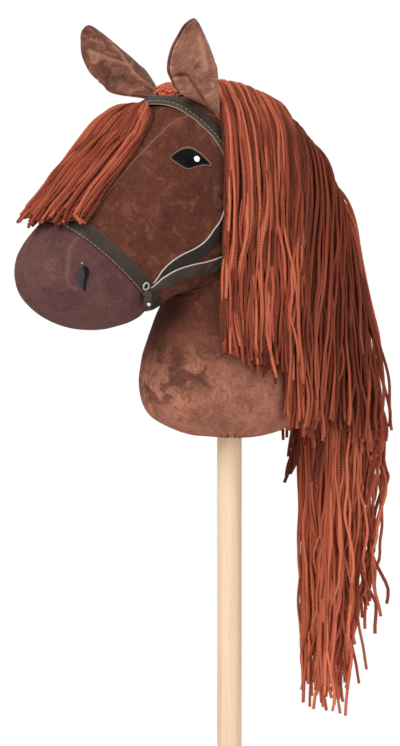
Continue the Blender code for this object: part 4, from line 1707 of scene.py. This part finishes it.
@dataclass
class Face:
    """Eyes and nostrils.

    Outlines and places are seen from the side (y, height), the shade's spine with its
    half widths. What ends in build gives a shape's low, height and dome.
    """

    form: StuffedForm
    eye: tuple = (
        (-0.0996, 0.2822), (-0.0934, 0.2874), (-0.0865, 0.2908), (-0.0789, 0.2914),
        (-0.0735, 0.2889), (-0.0668, 0.2842), (-0.0585, 0.2757), (-0.0672, 0.2756),
        (-0.0751, 0.2740), (-0.0828, 0.2720), (-0.0888, 0.2740), (-0.0950, 0.2782),
    )
    eye_build: tuple = (0.0009, 0.0006, 0.0010)
    glint: tuple = (-0.0736, 0.2810)
    glint_size: float = 0.0058
    glint_build: tuple = (0.0022, 0.0005, 0.0004)
    rim_radii: tuple = (0.0007, 0.0013)
    rim_lift: float = 0.0008
    rim_thick_way: tuple = (0.55, 0.83)
    nostril: tuple = (
        (-0.2019, 0.1721), (-0.2050, 0.1661), (-0.2041, 0.1602), (-0.2001, 0.1544),
        (-0.1973, 0.1542), (-0.1960, 0.1601), (-0.1958, 0.1651), (-0.1962, 0.1710),
        (-0.1987, 0.1732),
    )
    nostril_build: tuple = (0.0003, 0.0007, 0.0003)
    # Painted shadow: the spine and half widths of the nostril's black crescent.
    shade: tuple = (
        (-0.1975, 0.1742, 0.0008), (-0.1950, 0.1715, 0.0020), (-0.1944, 0.1680, 0.0021),
        (-0.1948, 0.1640, 0.0014), (-0.1960, 0.1595, 0.0008), (-0.1962, 0.1550, 0.0006),
        (-0.1956, 0.1512, 0.0002),
    )
    shade_build: tuple = (0.0005, 0.0009, 0.00045)
    # Painted highlight: the place and size of the pale dot above the nostril.
    dot: tuple = (-0.1985, 0.1776)
    dot_size: tuple = (0.0018, 0.0013)
    dot_build: tuple = (0.0002, 0.0005, 0.0002)

    def build(self) -> None:
        """Make both sides of the face."""
        for side in Side:
            self.apply_eye(side)
            self.apply_nostril(side)

    def apply_eye(self, side: Side) -> None:
        """Make an eye: its black shape, its highlight and its light border."""
        word = side.word
        eye = Patch(
            self.form, "eye_film", self.eye, *self.eye_build, EYE_BLACK, "eye_black",
            (f"eye_{word}",),
        )
        eye.build(side)
        Patch(
            self.form, "eye_glint", oval(self.glint, self.glint_size, self.glint_size),
            *self.glint_build, EYE_WHITE, "eye_white", (f"eye_highlight_{word}",),
        ).build(side)
        ring = closed_curve(self.eye, 6)
        middle = ring.mean(axis=0)
        points, radii = [], []
        for y, height in ring:
            away = np.array((y, height)) - middle
            size = float(np.linalg.norm(away))
            upper = eased(-0.2, 0.7, float(away @ self.rim_thick_way) / size)
            radii.append(between(self.rim_radii, upper))
            out = away / size * radii[-1] * 0.7
            points.append(eye.spot(y + out[0], height + out[1], self.rim_lift))
        Rim(
            self.form, "eye_edge", points, radii, EYE_RIM, "eye_border",
            (f"eye_border_{word}",),
        ).build(side)

    def apply_nostril(self, side: Side) -> None:
        """Make a nostril: its grey felt, a black crescent of painted shadow and a painted
        highlight dot above.
        """
        slot = "nostril_felt"
        Patch(
            self.form, "nostril_felt", self.nostril, *self.nostril_build, FELT_GREY, slot,
            (f"nostril_{side.word}",), rings=5,
        ).build(side)
        Crescent(
            self.form, "nostril_shade", self.shade, *self.shade_build, NOSTRIL_SHADOW_BLACK, slot
        ).build(side)
        Patch(
            self.form, "nostril_stitch", oval(self.dot, *self.dot_size), *self.dot_build,
            NOSTRIL_HIGHLIGHT_PAINT, slot, steps=2, rings=2,
        ).build(side)


# Ears


@dataclass
class Ear:
    """A cupped ear of two leaves of plush, pleated at its root, with a folded flap.

    The shape gives shares along the middle line, of the half width in front and behind,
    and of the cup. The flap's edge is given as shares along and across the leaf, and its
    creases and dents as shares across and along it.
    """

    form: StuffedForm
    side: Side
    root: tuple = ((0.0200, -0.0600, 0.345), (0.0355, -0.0480, 0.338), (0.0460, -0.0370, 0.324))
    root_share: float = 0.10
    base: tuple = (0.0429, -0.0589, 0.3252)
    tip: tuple = (0.1078, -0.1061, 0.4193)
    back: tuple = (-0.055, 1.0, 0.119)
    half_width: float = 0.0395
    cup: float = 0.0131
    fabric: float = 0.0020
    gap: float = 0.0012
    flap_fabric: float = 0.0014
    bevel: float = 0.0008
    lining_width: float = 0.94
    shape: tuple = (
        (0.36, 0.62, 0.60, 0.86), (0.48, 0.75, 0.55, 0.72), (0.62, 0.84, 0.46, 0.50),
        (0.80, 0.68, 0.31, 0.25), (0.92, 0.41, 0.19, 0.10), (0.975, 0.25, 0.12, 0.03),
        (1.00, 0.07, 0.04, 0.00),
    )
    flap: tuple = (
        (0.12, -0.20), (0.24, -0.22), (0.31, -0.25), (0.40, -0.33), (0.46, -0.42),
        (0.50, -0.60), (0.525, -0.93),
    )
    flat: tuple = (0.026, 0.124)
    fork: tuple = (
        ((0.18, 0.10), (0.12, 0.30), (0.10, 0.50)),
        ((0.10, 0.50), (-0.25, 0.62), (-0.70, 0.78)),
        ((0.10, 0.50), (0.50, 0.66), (0.55, 0.78)),
    )
    fork_width: float = 0.0020
    fork_depth: float = 0.0026
    ridge: tuple = ((0.45, 0.42), (0.47, 0.60), (0.42, 0.80))
    ridge_width: float = 0.0034
    ridge_height: float = 0.0030
    dimple: tuple = (0.14, 0.46)
    dimple_width: float = 0.0045
    dimple_depth: float = 0.0034
    hem_width: float = 0.0026
    hem_depth: float = 0.0016
    pleats: float = 9.0
    pleat_height: float = 0.0012
    hollows: tuple = ((-0.52, 0.44), (0.52, 0.44))
    hollow_widths: tuple = (0.0085, 0.0070)
    hollow_heights: tuple = (0.0034, 0.0018)
    dark_tip: tuple = (0.84, 0.97)
    columns: int = 40
    steps: int = 9
    table: np.ndarray = field(init=False)
    outward: Vector = field(init=False)

    def __post_init__(self) -> None:
        """Work out the leaf's plain surface, column by column."""
        root, end = (Vector((p[0], p[1], p[2] + MOUTH)) for p in (self.base, self.tip))
        along = end - root
        back = Vector(self.back)
        back = (back - along * back.dot(along) / along.length_squared).normalized()
        self.outward = back.cross(along).normalized()
        sewn = curve_through(self.root, self.columns // 2)
        columns = []
        for k in range(self.columns + 1):
            across = 2 * k / self.columns - 1
            hit, normal = self.form.nearest(Vector(tuple(sewn[k])) + UP * MOUTH)
            keys = [tuple(hit - normal * 0.0008)]
            for t, front, rear, cup in self.shape:
                spot = root + along * t
                spot += back * (across * self.half_width * (front if across < 0 else rear))
                keys.append(tuple(spot + self.outward * (self.cup * cup * (across**2 - 1))))
            columns.append(curve_through(keys, self.steps))
        self.table = np.array(columns)

    @property
    def known(self) -> list[float]:
        """The shares of the middle line at which the leaf's shape is given."""
        return [self.root_share] + [row[0] for row in self.shape]

    def share(self, v: float) -> float:
        """Share of the middle line at a share of the leaf's rows."""
        known = self.known
        return float(np.interp(v * (len(known) - 1), range(len(known)), known))

    def spot(self, across: float, v: float, lift: float) -> Vector:
        """A point of the plain leaf, lifted towards its inner side.

        Args:
            across: From -1 at the front edge to 1 at the rear edge.
            v: Share of the leaf's rows, from 0 at the root to 1 at the tip.
            lift: Height over the leaf's middle.

        Returns:
            The point, on the left side.
        """
        a = (across + 1) / 2 * self.columns
        b = v * (self.table.shape[1] - 1)
        i, j = min(int(a), self.columns - 1), min(int(b), self.table.shape[1] - 2)
        corners = self.table[i : i + 2, j : j + 2]
        low = corners[0] * (1 - a + i) + corners[1] * (a - i)
        return Vector(low[0] * (1 - b + j) + low[1] * (b - j)) + self.outward * lift

    def crease(self, across: float, t: float, line: Sequence[tuple], width: float) -> float:
        """How near a place on the leaf is to a line, as 1 at it and 0 far away."""
        return bell(line_distance(across, t, line, self.flat), width)

    def bump(self, across: float, t: float, place: tuple, size: float) -> float:
        """How near a place on the leaf is to another, as 1 at it and 0 far away."""
        return self.crease(across, t, (place, (place[0], place[1] + 0.01)), size)

    def lining_relief(self, across: float, t: float) -> tuple[float, float, float]:
        """The relief of the lining, pushed out by the back's."""
        height, brushed, crush_and_shade = self.lining_dents(across, t)
        return height + max(self.back_dents(across, t)[0], 0.0), brushed, crush_and_shade

    def back_relief(self, across: float, t: float) -> tuple[float, float, float]:
        """The relief of the back, pushed out by the lining's."""
        height, brushed, crush_and_shade = self.back_dents(across, t)
        pushed = min(self.lining_dents(across, t)[0] + self.gap / 2, 0.0)
        return height + pushed, brushed, crush_and_shade

    def lining_dents(self, across: float, t: float) -> tuple[float, float, float]:
        """The lining's own relief at a place on it.

        Args:
            across: From -1 at the front edge to 1 at the rear edge.
            t: Share of the middle line.

        Returns:
            Its height, its share of painted highlight on the ridge, and its share of painted
            shade in the dimple and the hem under the flap, with the tip darker.
        """
        ridge = self.crease(across, t, self.ridge, self.ridge_width)
        dimple = self.bump(across, t, self.dimple, self.dimple_width)
        pleats = math.sin(across * self.pleats) * eased(0.40, 0.15, t)
        edge = [(far, rise) for rise, far in self.flap]
        hem = self.crease(across, t, edge, self.hem_width)
        height = self.ridge_height * ridge - self.dimple_depth * dimple
        height += self.pleat_height * pleats
        height -= self.hem_depth * hem
        # Painted shade darkens the dimple and the hem under the flap, the tip is darker, and a
        # painted highlight lightens the ridge.
        crush_and_shade = max(0.75 * dimple, 0.85 * hem, 0.5 * eased(*self.dark_tip, t))
        return height, 0.8 * ridge, crush_and_shade

    def back_dents(self, across: float, t: float) -> tuple[float, float, float]:
        """The outer leaf's own relief, with the lining's arguments and results."""
        fork = max(self.crease(across, t, line, self.fork_width) for line in self.fork)
        hollow, beside = (
            self.bump(across, t, place, width)
            for place, width in zip(self.hollows, self.hollow_widths)
        )
        height = -self.fork_depth * fork
        height += self.hollow_heights[0] * hollow
        height += self.hollow_heights[1] * beside
        # Painted shade: the hollows are darkened, and the tip is darker.
        crush_and_shade = max(0.7 * hollow, 0.45 * beside, 0.4 * eased(*self.dark_tip, t))
        return height, fork, crush_and_shade

    def build(self) -> None:
        """Make both leaves and the flap."""
        word = self.side.word
        rows = self.table.shape[1] - 1
        inner = self.fabric + self.gap
        for leaf, wide, lift, relief, node in (
            ("back", 1.0, 0.0, self.back_relief, "ear_outer"),
            ("lining", self.lining_width, inner, self.lining_relief, "ear_inner"),
        ):
            bm = bmesh.new()
            # These layers hold the painted highlight and the painted shade of the ear's plush.
            brushed = bm.verts.layers.float.new("seam")
            crush_and_shade = bm.verts.layers.float.new("press")
            share_grid(self.columns, rows, bm)
            for vert in bm.verts:
                across, v = wide * (2 * vert.co.x - 1), vert.co.y
                rise, vert[brushed], vert[crush_and_shade] = relief(across, self.share(v))
                rise *= 1 - abs(across / wide) ** 6
                rise += 0.0008 * noise.noise(self.spot(across, v, lift) * 70.0)
                vert.co = self.spot(across, v, lift + rise)
            self.sew(f"ear_{leaf}_{word}", bm, node)
        edge = curve_through(self.flap, 6)
        known = self.known
        front = -self.lining_width

        def fold(u: float, v: float) -> Vector:
            """The point across and along the flap."""
            t, far = edge[round(v * (len(edge) - 1))]
            rows_share = float(np.interp(t, known, np.linspace(0, 1, len(known))))
            full = eased(0.0, 0.35, far + 0.96)
            rise = 0.0034 + 0.0052 * full * math.sin(math.pi / 2 * min(u / 0.6, 1.0))
            return self.spot(front + (far - front) * u, rows_share, rise)

        self.sew(f"ear_fold_{word}", mapped_grid(16, len(edge) - 1, fold), None)

    def sew(self, name: str, bm: BMesh, node: str | None) -> None:
        """Dress a leaf of the ear, or its flap, which stands for no node."""
        weld(bm)
        face_outwards(bm, self.outward)
        mirrored(bm, self.side)
        nodes = (f"{node}_{self.side.word}",) if node else ()
        outer = node == "ear_outer"
        finish, slot = (EAR_PLUSH, "plush") if outer else (EAR_LINING, "ear_lining")
        piece = finish_piece(name, bm, finish, slot, nodes)
        thicken(piece, self.fabric if node else self.flap_fabric, 1.0)
        soften(piece, self.bevel)


# Yarn


@dataclass
class Strands:
    """A bundle of yarn: its strands' middle lines and the tone of each.

    A strand's tone rises by its own amount from root to end, and is its plain one at the
    level. The frame of each strand starts across a direction that none of them takes.
    """

    name: str
    nodes: tuple = ()
    radius: float = 0.0016
    segments: int = 42
    sides: int = 6
    level: float = 0.35
    askew: tuple = (0.31, 0.87, 0.38)
    lines: list = field(default_factory=list)
    tones: list = field(default_factory=list)
    sizes: list = field(default_factory=list)
    # Painted light: how much each strand brightens from its root to its end.
    rises: list = field(default_factory=list)

    def template(self) -> BMesh:
        """One strand as a closed tube of unit size, rolled from a grid."""

        def place(u: float, v: float) -> Vector:
            """The point round the tube and along it."""
            ring = round(v * self.segments)
            radius = 0.0 if ring in (0, self.segments) else 1.0
            angle = 2 * math.pi * u
            return Vector((radius * math.cos(angle), radius * math.sin(angle), float(ring)))

        bm = mapped_grid(self.sides, self.segments, place)
        weld_closed(bm, 0.001)
        return bm

    def copies(self) -> tuple[bpy.types.Mesh, np.ndarray]:
        """One unit strand for each line.

        Returns:
            Their mesh, and the points of one.
        """
        bm = self.template()
        shape = np.array([tuple(v.co) for v in bm.verts])
        single = stored(f"{self.name}_strand", bm)
        whole = bmesh.new()
        for _ in self.lines:
            whole.from_mesh(single)
        bpy.data.meshes.remove(single)
        return stored(self.name, whole), shape

    def across(self, paths: np.ndarray) -> tuple[np.ndarray, np.ndarray]:
        """Two directions across each strand at each of its points, without a twist.

        Args:
            paths: The points of every strand.

        Returns:
            Both directions, in arrays like that of the paths.
        """
        ahead = np.gradient(paths, axis=1)
        ahead[:, 0], ahead[:, -1] = ahead[:, 1], ahead[:, -2]
        ahead /= np.linalg.norm(ahead, axis=2, keepdims=True)
        side = np.cross(ahead[:, 0], self.askew)
        side /= np.linalg.norm(side, axis=1, keepdims=True)
        sides = [side]
        for k in range(1, self.segments + 1):
            side = side - ahead[:, k] * np.sum(side * ahead[:, k], axis=1, keepdims=True)
            side /= np.linalg.norm(side, axis=1, keepdims=True)
            sides.append(side)
        sides = np.stack(sides, axis=1)
        return sides, np.cross(ahead, sides)

    def build(self) -> Object:
        """Make every strand of the bundle in one piece."""
        mesh, shape = self.copies()
        count = len(self.lines)
        paths = np.array([self.paced(line) for line in self.lines])
        ring = shape[:, 2].round().astype(int)
        thick = self.radius * np.array(self.sizes)[:, None, None]
        spots = paths[:, ring]
        for axis, ways in enumerate(self.across(paths)):
            spots = spots + ways[:, ring] * shape[None, :, axis, None] * thick
        mesh.vertices.foreach_set("co", spots.reshape(-1))
        lengths = np.cumsum(np.linalg.norm(np.diff(paths, axis=1), axis=2), axis=1)
        run = np.concatenate([np.zeros((count, 1)), lengths], axis=1)
        round_it = [np.broadcast_to(shape[:, axis], (count, len(shape))) for axis in (0, 1)]
        plies = np.stack([*round_it, run[:, ring]], axis=2)
        ply = mesh.attributes.new("ply", "FLOAT_VECTOR", "POINT")
        ply.data.foreach_set("vector", plies.reshape(-1).astype(np.float32))
        run_share = ring[None, :] / self.segments - self.level
        tones = np.array(self.tones)[:, None] + np.array(self.rises)[:, None] * run_share
        tone = mesh.attributes.new("tone", "FLOAT", "POINT")
        tone.data.foreach_set("value", tones.reshape(-1).astype(np.float32))
        mesh.update()
        mesh.shade_smooth()
        return dress(self.name, mesh, YARN, "yarn", self.nodes)

    def paced(self, line: np.ndarray) -> np.ndarray:
        """Points along a strand, evenly spread but close to the cut ends."""
        even = evened(line, self.segments - 1)
        return np.vstack([even[:1], evened(even, self.segments - 1), even[-1:]])


def drift(which: float, run: float) -> Vector:
    """A smooth random shift along a strand, the same in each run."""
    return Vector([noise.noise(Vector((which, run, 0.4 + 7.7 * axis))) for axis in range(3)])


@dataclass(frozen=True)
class Fall:
    """How a group of strands is sewn on and where it hangs.

    Each pair runs from the group's rear strands to its front ones. Roots are rows of the
    form along its crest, lanes are the places (y) over which the strands hang, and ends
    are the heights of their cut ends over the floor. With a power, the ends are spread
    over their whole range instead, the more of them low the higher it is. Width is how
    far out to the side they hang, layers their heights over the fabric, and settle the
    drop over which they reach their lane. The rise is how much brighter a strand gets
    from its root to its end, and a lock is a number of strands that wave together.
    """

    count: int
    roots: tuple
    lanes: tuple
    ends: tuple
    width: tuple
    layers: tuple
    tones: tuple
    lane_spread: float = 0.005
    end_spread: float = 0.009
    settle: float = 0.16
    wave: float = 1.5
    lift: float = 0.30
    power: float = 0.0
    lock: int = 6
    # Painted light: the rise brightens a strand towards its end.
    rise: float = 0.0


@dataclass
class Mane:
    """The yarn: locks on each side, the tail behind the neck and the forelock.

    Waves are the slow one of a lock, the quick one of a strand and the curl of its end,
    each with its own seed and its turns per metre.
    """

    form: StuffedForm
    seed: int = 7
    step: float = 0.006
    bend: float = 0.018
    wave: float = 0.0018
    waves: tuple = ((17.3, 9.0), (29.1, 20.0), (11.7, 30.0))
    curl: float = 0.0060
    clear: float = 0.0022
    sizes: tuple = (0.88, 1.12)
    root_heights: tuple = (0.003, 0.012)
    root_width: float = 0.004
    far_shift: float = 0.008
    tail_segments: int = 60
    forelock_count: int = 230
    forelock_rows: tuple = (12.40, 12.62)
    forelock_ends: tuple = (0.797, 0.813)
    forelock_tones: tuple = (0.0, 0.76)
    tuft_count: int = 84
    tuft_rows: tuple = (11.08, 11.75)
    # Painted light: the poll tuft's tones are raised against the shade that it lies in.
    tuft_tones: tuple = (0.7, 1.2)
    front: Fall = Fall(
        192, (10.1, 11.20), (0.048, -0.045), (0.646, 0.676), (0.050, 0.066),
        (0.0022, 0.0120), (0.0, 0.86), end_spread=0.012, settle=0.045, lift=0.45,
    )
    # Painted shade: the rear locks' low tones; their rise is painted light towards their ends.
    rear: Fall = Fall(
        190, (7.3, 10.3), (0.168, 0.022), (0.574, 0.604), (0.000, 0.060),
        (0.0030, 0.0150), (-0.10, 0.44), lane_spread=0.010, end_spread=0.016, settle=0.14,
        lift=0.15, rise=0.56,
    )
    # Painted light: the tail's high tones, for strands that hang low where less light falls.
    core: Fall = Fall(
        106, (8.0, 3.6), (0.138, 0.095), (0.302, 0.450), (0.000, 0.030),
        (0.0030, 0.0150), (0.60, 1.2), lane_spread=0.007, wave=2.3, power=1.3,
    )
    # Painted light: the fringe's high tones, for strands that hang low where less light falls.
    fringe: Fall = Fall(
        58, (8.6, 6.4), (0.172, 0.120), (0.370, 0.590), (0.000, 0.028),
        (0.0050, 0.0180), (0.50, 1.15), lane_spread=0.010, wave=2.8, power=0.9,
    )
    wisp: Fall = Fall(
        8, (7.4, 7.0), (0.080, 0.076), (0.518, 0.560), (0.026, 0.036),
        (0.0030, 0.0090), (0.0, 0.35), lane_spread=0.003, settle=0.14, wave=1.8,
    )

    def __post_init__(self) -> None:
        """Start the random draws."""
        self.random = np.random.default_rng(self.seed)

    def drape(
        self, start: Vector, heading: Vector, layer: float, lane: tuple[float, float],
        end: float, settle: float, most: int = 140,
    ) -> np.ndarray:
        """The line of one strand, laid on the form and left to hang.

        Args:
            start: Where it is sewn on.
            heading: The way that it leaves.
            layer: Its height over the fabric once it has left its root.
            lane: Where it hangs, seen from above (x, y).
            end: The height of its cut end.
            settle: The drop over which it reaches its lane.
            most: The largest number of steps.

        Returns:
            The points of its middle line.
        """
        point, direction = start.copy(), heading.normalized()
        points = [tuple(point)]
        while point.z > end and len(points) < most:
            pull = Vector(((lane[0] - point.x) / settle, (lane[1] - point.y) / settle, -1.0))
            direction = (direction + pull * (self.step / self.bend)).normalized()
            ahead = point + direction * self.step
            hit, normal = self.form.nearest(ahead)
            wanted = layer * eased(0.0, 12.0, len(points)) + 0.002
            if (ahead - hit).dot(normal) < wanted:
                ahead = hit + normal * wanted
                direction = (ahead - point).normalized()
            point = ahead
            points.append(tuple(point))
        return np.array(points)

    def waved(self, line: np.ndarray, lock: float, own: float, size: float) -> np.ndarray:
        """A strand's line with its waves.

        Args:
            line: The line as it was laid.
            lock: The number of its lock, which has one slow wave.
            own: Its own number, for a quick wave and the curl of its end.
            size: How strong they are.

        Returns:
            The waved line, still clear of the fabric.
        """
        moved = line.copy()
        count = len(line)
        for k in range(count):
            share, run = k / (count - 1), k * self.step
            grow = 0.12 + eased(0.05, 0.85, share)
            slow, quick, curl = (
                drift(number * seed, run * pace)
                for number, (seed, pace) in zip((lock, own, own), self.waves)
            )
            curl *= eased(0.45, 0.9, share)
            curl *= max(size - 1.5, 0.0)
            shift = (slow * 4.6 * size + quick * (1.5 + 1.2 * size)) * self.wave * grow
            shift += curl * self.curl
            spot = Vector(line[k]) + shift
            hit, normal = self.form.nearest(spot)
            if (spot - hit).dot(normal) < self.clear:
                spot = hit + normal * self.clear
            moved[k] = tuple(spot)
        return moved

    def add(
        self, bundle: Strands, line: np.ndarray, tones: tuple, depth: float, rise: float = 0.0,
    ) -> None:
        """Put a strand into a bundle; inner strands get darker tones as painted shade.

        Args:
            bundle: The bundle.
            line: The strand's middle line.
            tones: The tones of the darkest and the brightest strand.
            depth: 0 for an inner strand and 1 for an outer one.
            rise: How much brighter it gets towards its end, as painted light.
        """
        # Painted shade: deeper strands lean towards the darker tones; the random part is the
        # yarn's own tone.
        share = eased(0.08, 0.92, 0.40 * depth + 0.60 * self.random.uniform(0, 1))
        bundle.lines.append(line)
        bundle.tones.append(between(tones, share))
        bundle.sizes.append(self.random.uniform(*self.sizes))
        bundle.rises.append(rise)

    def group(self, bundle: Strands, fall: Fall, side: float) -> None:
        """Add a group of strands on one side of the crest to a bundle.

        Args:
            bundle: The bundle.
            fall: How the group hangs.
            side: 1 for the left and -1 for the right.
        """
        draw = self.random
        for k in range(fall.count):
            share = (k + draw.uniform(0, 1)) / fall.count
            top, out = self.form.crest(between(fall.roots, share))
            depth = draw.uniform(0, 1)
            start = top + out * between(self.root_heights, depth)
            start += LEFTWARD * side * draw.uniform(0, self.root_width)
            heading = LEFTWARD * side + out * (fall.lift * (1 + 1.9 * depth))
            high = draw.uniform(0, 1) ** fall.power if fall.power else share
            foremost = share**4
            lane = (
                side * (draw.uniform(*fall.width) * (1 - foremost) + fall.width[1] * foremost),
                between(fall.lanes, share)
                + draw.uniform(-fall.lane_spread, fall.lane_spread) * (1 - 0.8 * foremost)
                + self.far_shift * (side < 0),
            )
            end = between(fall.ends, high) + draw.uniform(-fall.end_spread, fall.end_spread)
            layer = between(fall.layers, depth)
            line = self.drape(start, heading, layer, lane, end, fall.settle)
            wave = fall.wave * (1 - 0.85 * foremost)
            line = self.waved(line, k // fall.lock + 50 * side, k + 300 * side, wave)
            self.add(bundle, line, fall.tones, depth, fall.rise)

    def forelock(self, bundle: Strands) -> None:
        """Add the strands that fall over the forehead."""
        draw = self.random
        for k in range(self.forelock_count):
            share, depth = 1 - 2 * draw.uniform(0, 1) ** 1.25, draw.uniform(0, 1)
            top, out = self.form.crest(draw.uniform(*self.forelock_rows))
            left, right = max(share, 0.0), max(-share, 0.0)
            start = top + out * (0.001 + 0.008 * depth) + LEFTWARD * (share * 0.020 - 0.005)
            heading = Vector((share * 0.55 + left, 0.5 * left - 1.0, 0.15 - 0.5 * left))
            heading += out * (0.15 + 0.40 * depth)
            reach = 0.205 - 0.030 * share + 0.020 * left + 0.030 * depth * (1 - left)
            reach -= 0.007 * right
            lane = (share * 0.042 - 0.002 - 0.008 * left, -reach)
            settle = 0.13 - 0.04 * share
            end = draw.uniform(*self.forelock_ends) + 0.010 * right
            line = self.drape(start, heading, 0.002 + 0.015 * depth, lane, end, settle)
            for point, along in zip(line, np.linspace(0.0, 1.0, len(line))):
                point += np.array((0.005, 0.015, 0.0)) * left * math.sin(math.pi * along**0.8)
            line = self.waved(line, round(share * 5), k + 900, 0.35)
            self.add(bundle, line, self.forelock_tones, depth)

    def poll_tuft(self, bundle: Strands) -> None:
        """Add the short strands between the ears, behind the headpiece."""
        draw = self.random
        for k in range(self.tuft_count):
            depth = draw.uniform(0, 1)
            row = draw.uniform(*self.tuft_rows)
            top, out = self.form.crest(row)
            start = top + out * (0.001 + 0.006 * depth) + LEFTWARD * draw.uniform(-0.017, 0.018)
            heading = Vector((draw.uniform(-0.3, 0.3), -1.0, 1.1 * depth))
            lane = (start.x * 1.2, -0.30)
            steps = round((12.05 - row) * 9.7)
            line = self.drape(start, heading, 0.001 + 0.012 * depth, lane, 0.0, 0.16, steps)
            self.add(bundle, self.waved(line, 3, k + 1500, 1.0), self.tuft_tones, depth)

    def build(self) -> None:
        """Make the whole mane."""
        for side in Side:
            bundle = Strands(f"mane_locks_{side.word}", (f"mane_{side.word}",))
            self.group(bundle, self.front, side.value)
            self.group(bundle, self.rear, side.value)
            bundle.build()
        tail = Strands("mane_tail", ("mane_back",), segments=self.tail_segments)
        fringe = Strands("mane_fringe", segments=self.tail_segments)
        for side in Side:
            self.group(tail, self.core, side.value)
            self.group(fringe, self.fringe, side.value)
            self.group(fringe, self.wisp, side.value)
        self.poll_tuft(fringe)
        tail.build()
        fringe.build()
        lock = Strands("forelock_yarn", ("forelock",))
        self.forelock(lock)
        lock.build()


# Stick and the pieces that keep their solids


def dress_kept_nodes() -> None:
    """Give the CAD nodes that stay their finishes."""
    for node, finish in (
        ("pole", BEECH), ("socket_tube", PLASTIC), ("mane_tape", TAPE), ("neck_tie", CORD)
    ):
        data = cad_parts[node].data
        data.materials.clear()
        data.materials.append(WARDROBE.get(finish))


# Stage


@dataclass
class Studio:
    """Floor, light and camera.

    The azimuth turns the camera from the horse's front towards its left. A lamp's place
    is given towards the camera, to its right and up; then come its watts and its size.
    """

    azimuth: float = math.radians(60)
    elevation: float = math.radians(2)
    distance: float = 5.0
    span: float = 0.761
    film: float = 36.0
    aim_right: float = -0.030
    aim_up: float = 0.642
    lamps: tuple = (
        ("key", (1.7, -1.1, 2.0), 46.0, 1.4),
        ("fill", (1.9, 1.2, 0.9), 14.0, 1.6),
        ("back", (-1.8, 0.8, 1.9), 20.0, 1.4),
    )
    lamp_aim: float = 0.7
    world: float = 0.42
    floor_radius: float = 2.0
    floor_drop: float = 0.0005

    @property
    def right(self) -> Vector:
        """The camera's right."""
        return Vector((math.cos(self.azimuth), math.sin(self.azimuth), 0.0))

    @property
    def toward(self) -> Vector:
        """The level direction from the horse to the camera."""
        return Vector((math.sin(self.azimuth), -math.cos(self.azimuth), 0.0))

    def aim(self, thing: Object, place: Vector, way: Vector) -> None:
        """Put a lamp or the camera at a place and point it a way."""
        thing.location = place
        thing.rotation_mode = "QUATERNION"
        thing.rotation_quaternion = way.to_track_quat("-Z", "Y")

    def camera(self) -> None:
        """A long lens at the photograph's angle."""
        look = -self.toward * math.cos(self.elevation) - UP * math.sin(self.elevation)
        target = self.right * self.aim_right + UP * self.aim_up
        data = bpy.data.cameras.new("camera")
        data.sensor_fit = "VERTICAL"
        data.sensor_height = self.film
        data.lens = self.film * self.distance / self.span
        eye = placed("camera", data)
        self.aim(eye, target - look * self.distance, look)
        bpy.context.scene.camera = eye

    def light(self) -> None:
        """Square soft lamps aimed at the head."""
        for name, (near, right, up), power, size in self.lamps:
            place = self.toward * near + self.right * right + UP * up
            data = bpy.data.lights.new(name, "AREA")
            data.shape = "SQUARE"
            data.size = size
            data.energy = power
            self.aim(placed(name, data), place, UP * self.lamp_aim - place)

    def floor(self) -> None:
        """A round pale floor."""
        bm = bmesh.new()
        bmesh.ops.create_circle(bm, cap_ends=True, segments=96, radius=self.floor_radius)
        mesh = stored("floor", bm)
        floor = placed("floor", mesh)
        floor.location.z = -self.floor_drop
        mesh.materials.append(WARDROBE.get(FLOOR))

    def sky(self) -> None:
        """A world that lights softly, and that the camera and gloss see as white."""
        world = bpy.data.worlds.new("studio")
        world.use_nodes = True
        nodes = Nodes(world.node_tree)
        level = nodes.node("MapRange", Value=nodes.seen(), To_Min=self.world, To_Max=1.0)
        shade = nodes.tree.nodes["Background"]
        shade.inputs["Color"].default_value = FLOOR.white
        nodes.feed(shade.inputs["Strength"], level.outputs["Result"])
        bpy.context.scene.world = world

    def build(self) -> None:
        """Make the stage."""
        bpy.context.scene.view_settings.view_transform = "Standard"
        self.floor()
        self.sky()
        self.light()
        self.camera()


def main() -> None:
    """Build the hobby horse's looks."""
    logging.basicConfig(level=logging.INFO, format="%(message)s")
    Studio().build()
    form = StuffedForm()
    Covers(form).build()
    Filling().build()
    Bridle(form).build()
    Face(form).build()
    for side in Side:
        Ear(form, side).build()
    Mane(form).build()
    dress_kept_nodes()


if __name__ == "__main__":
    main()
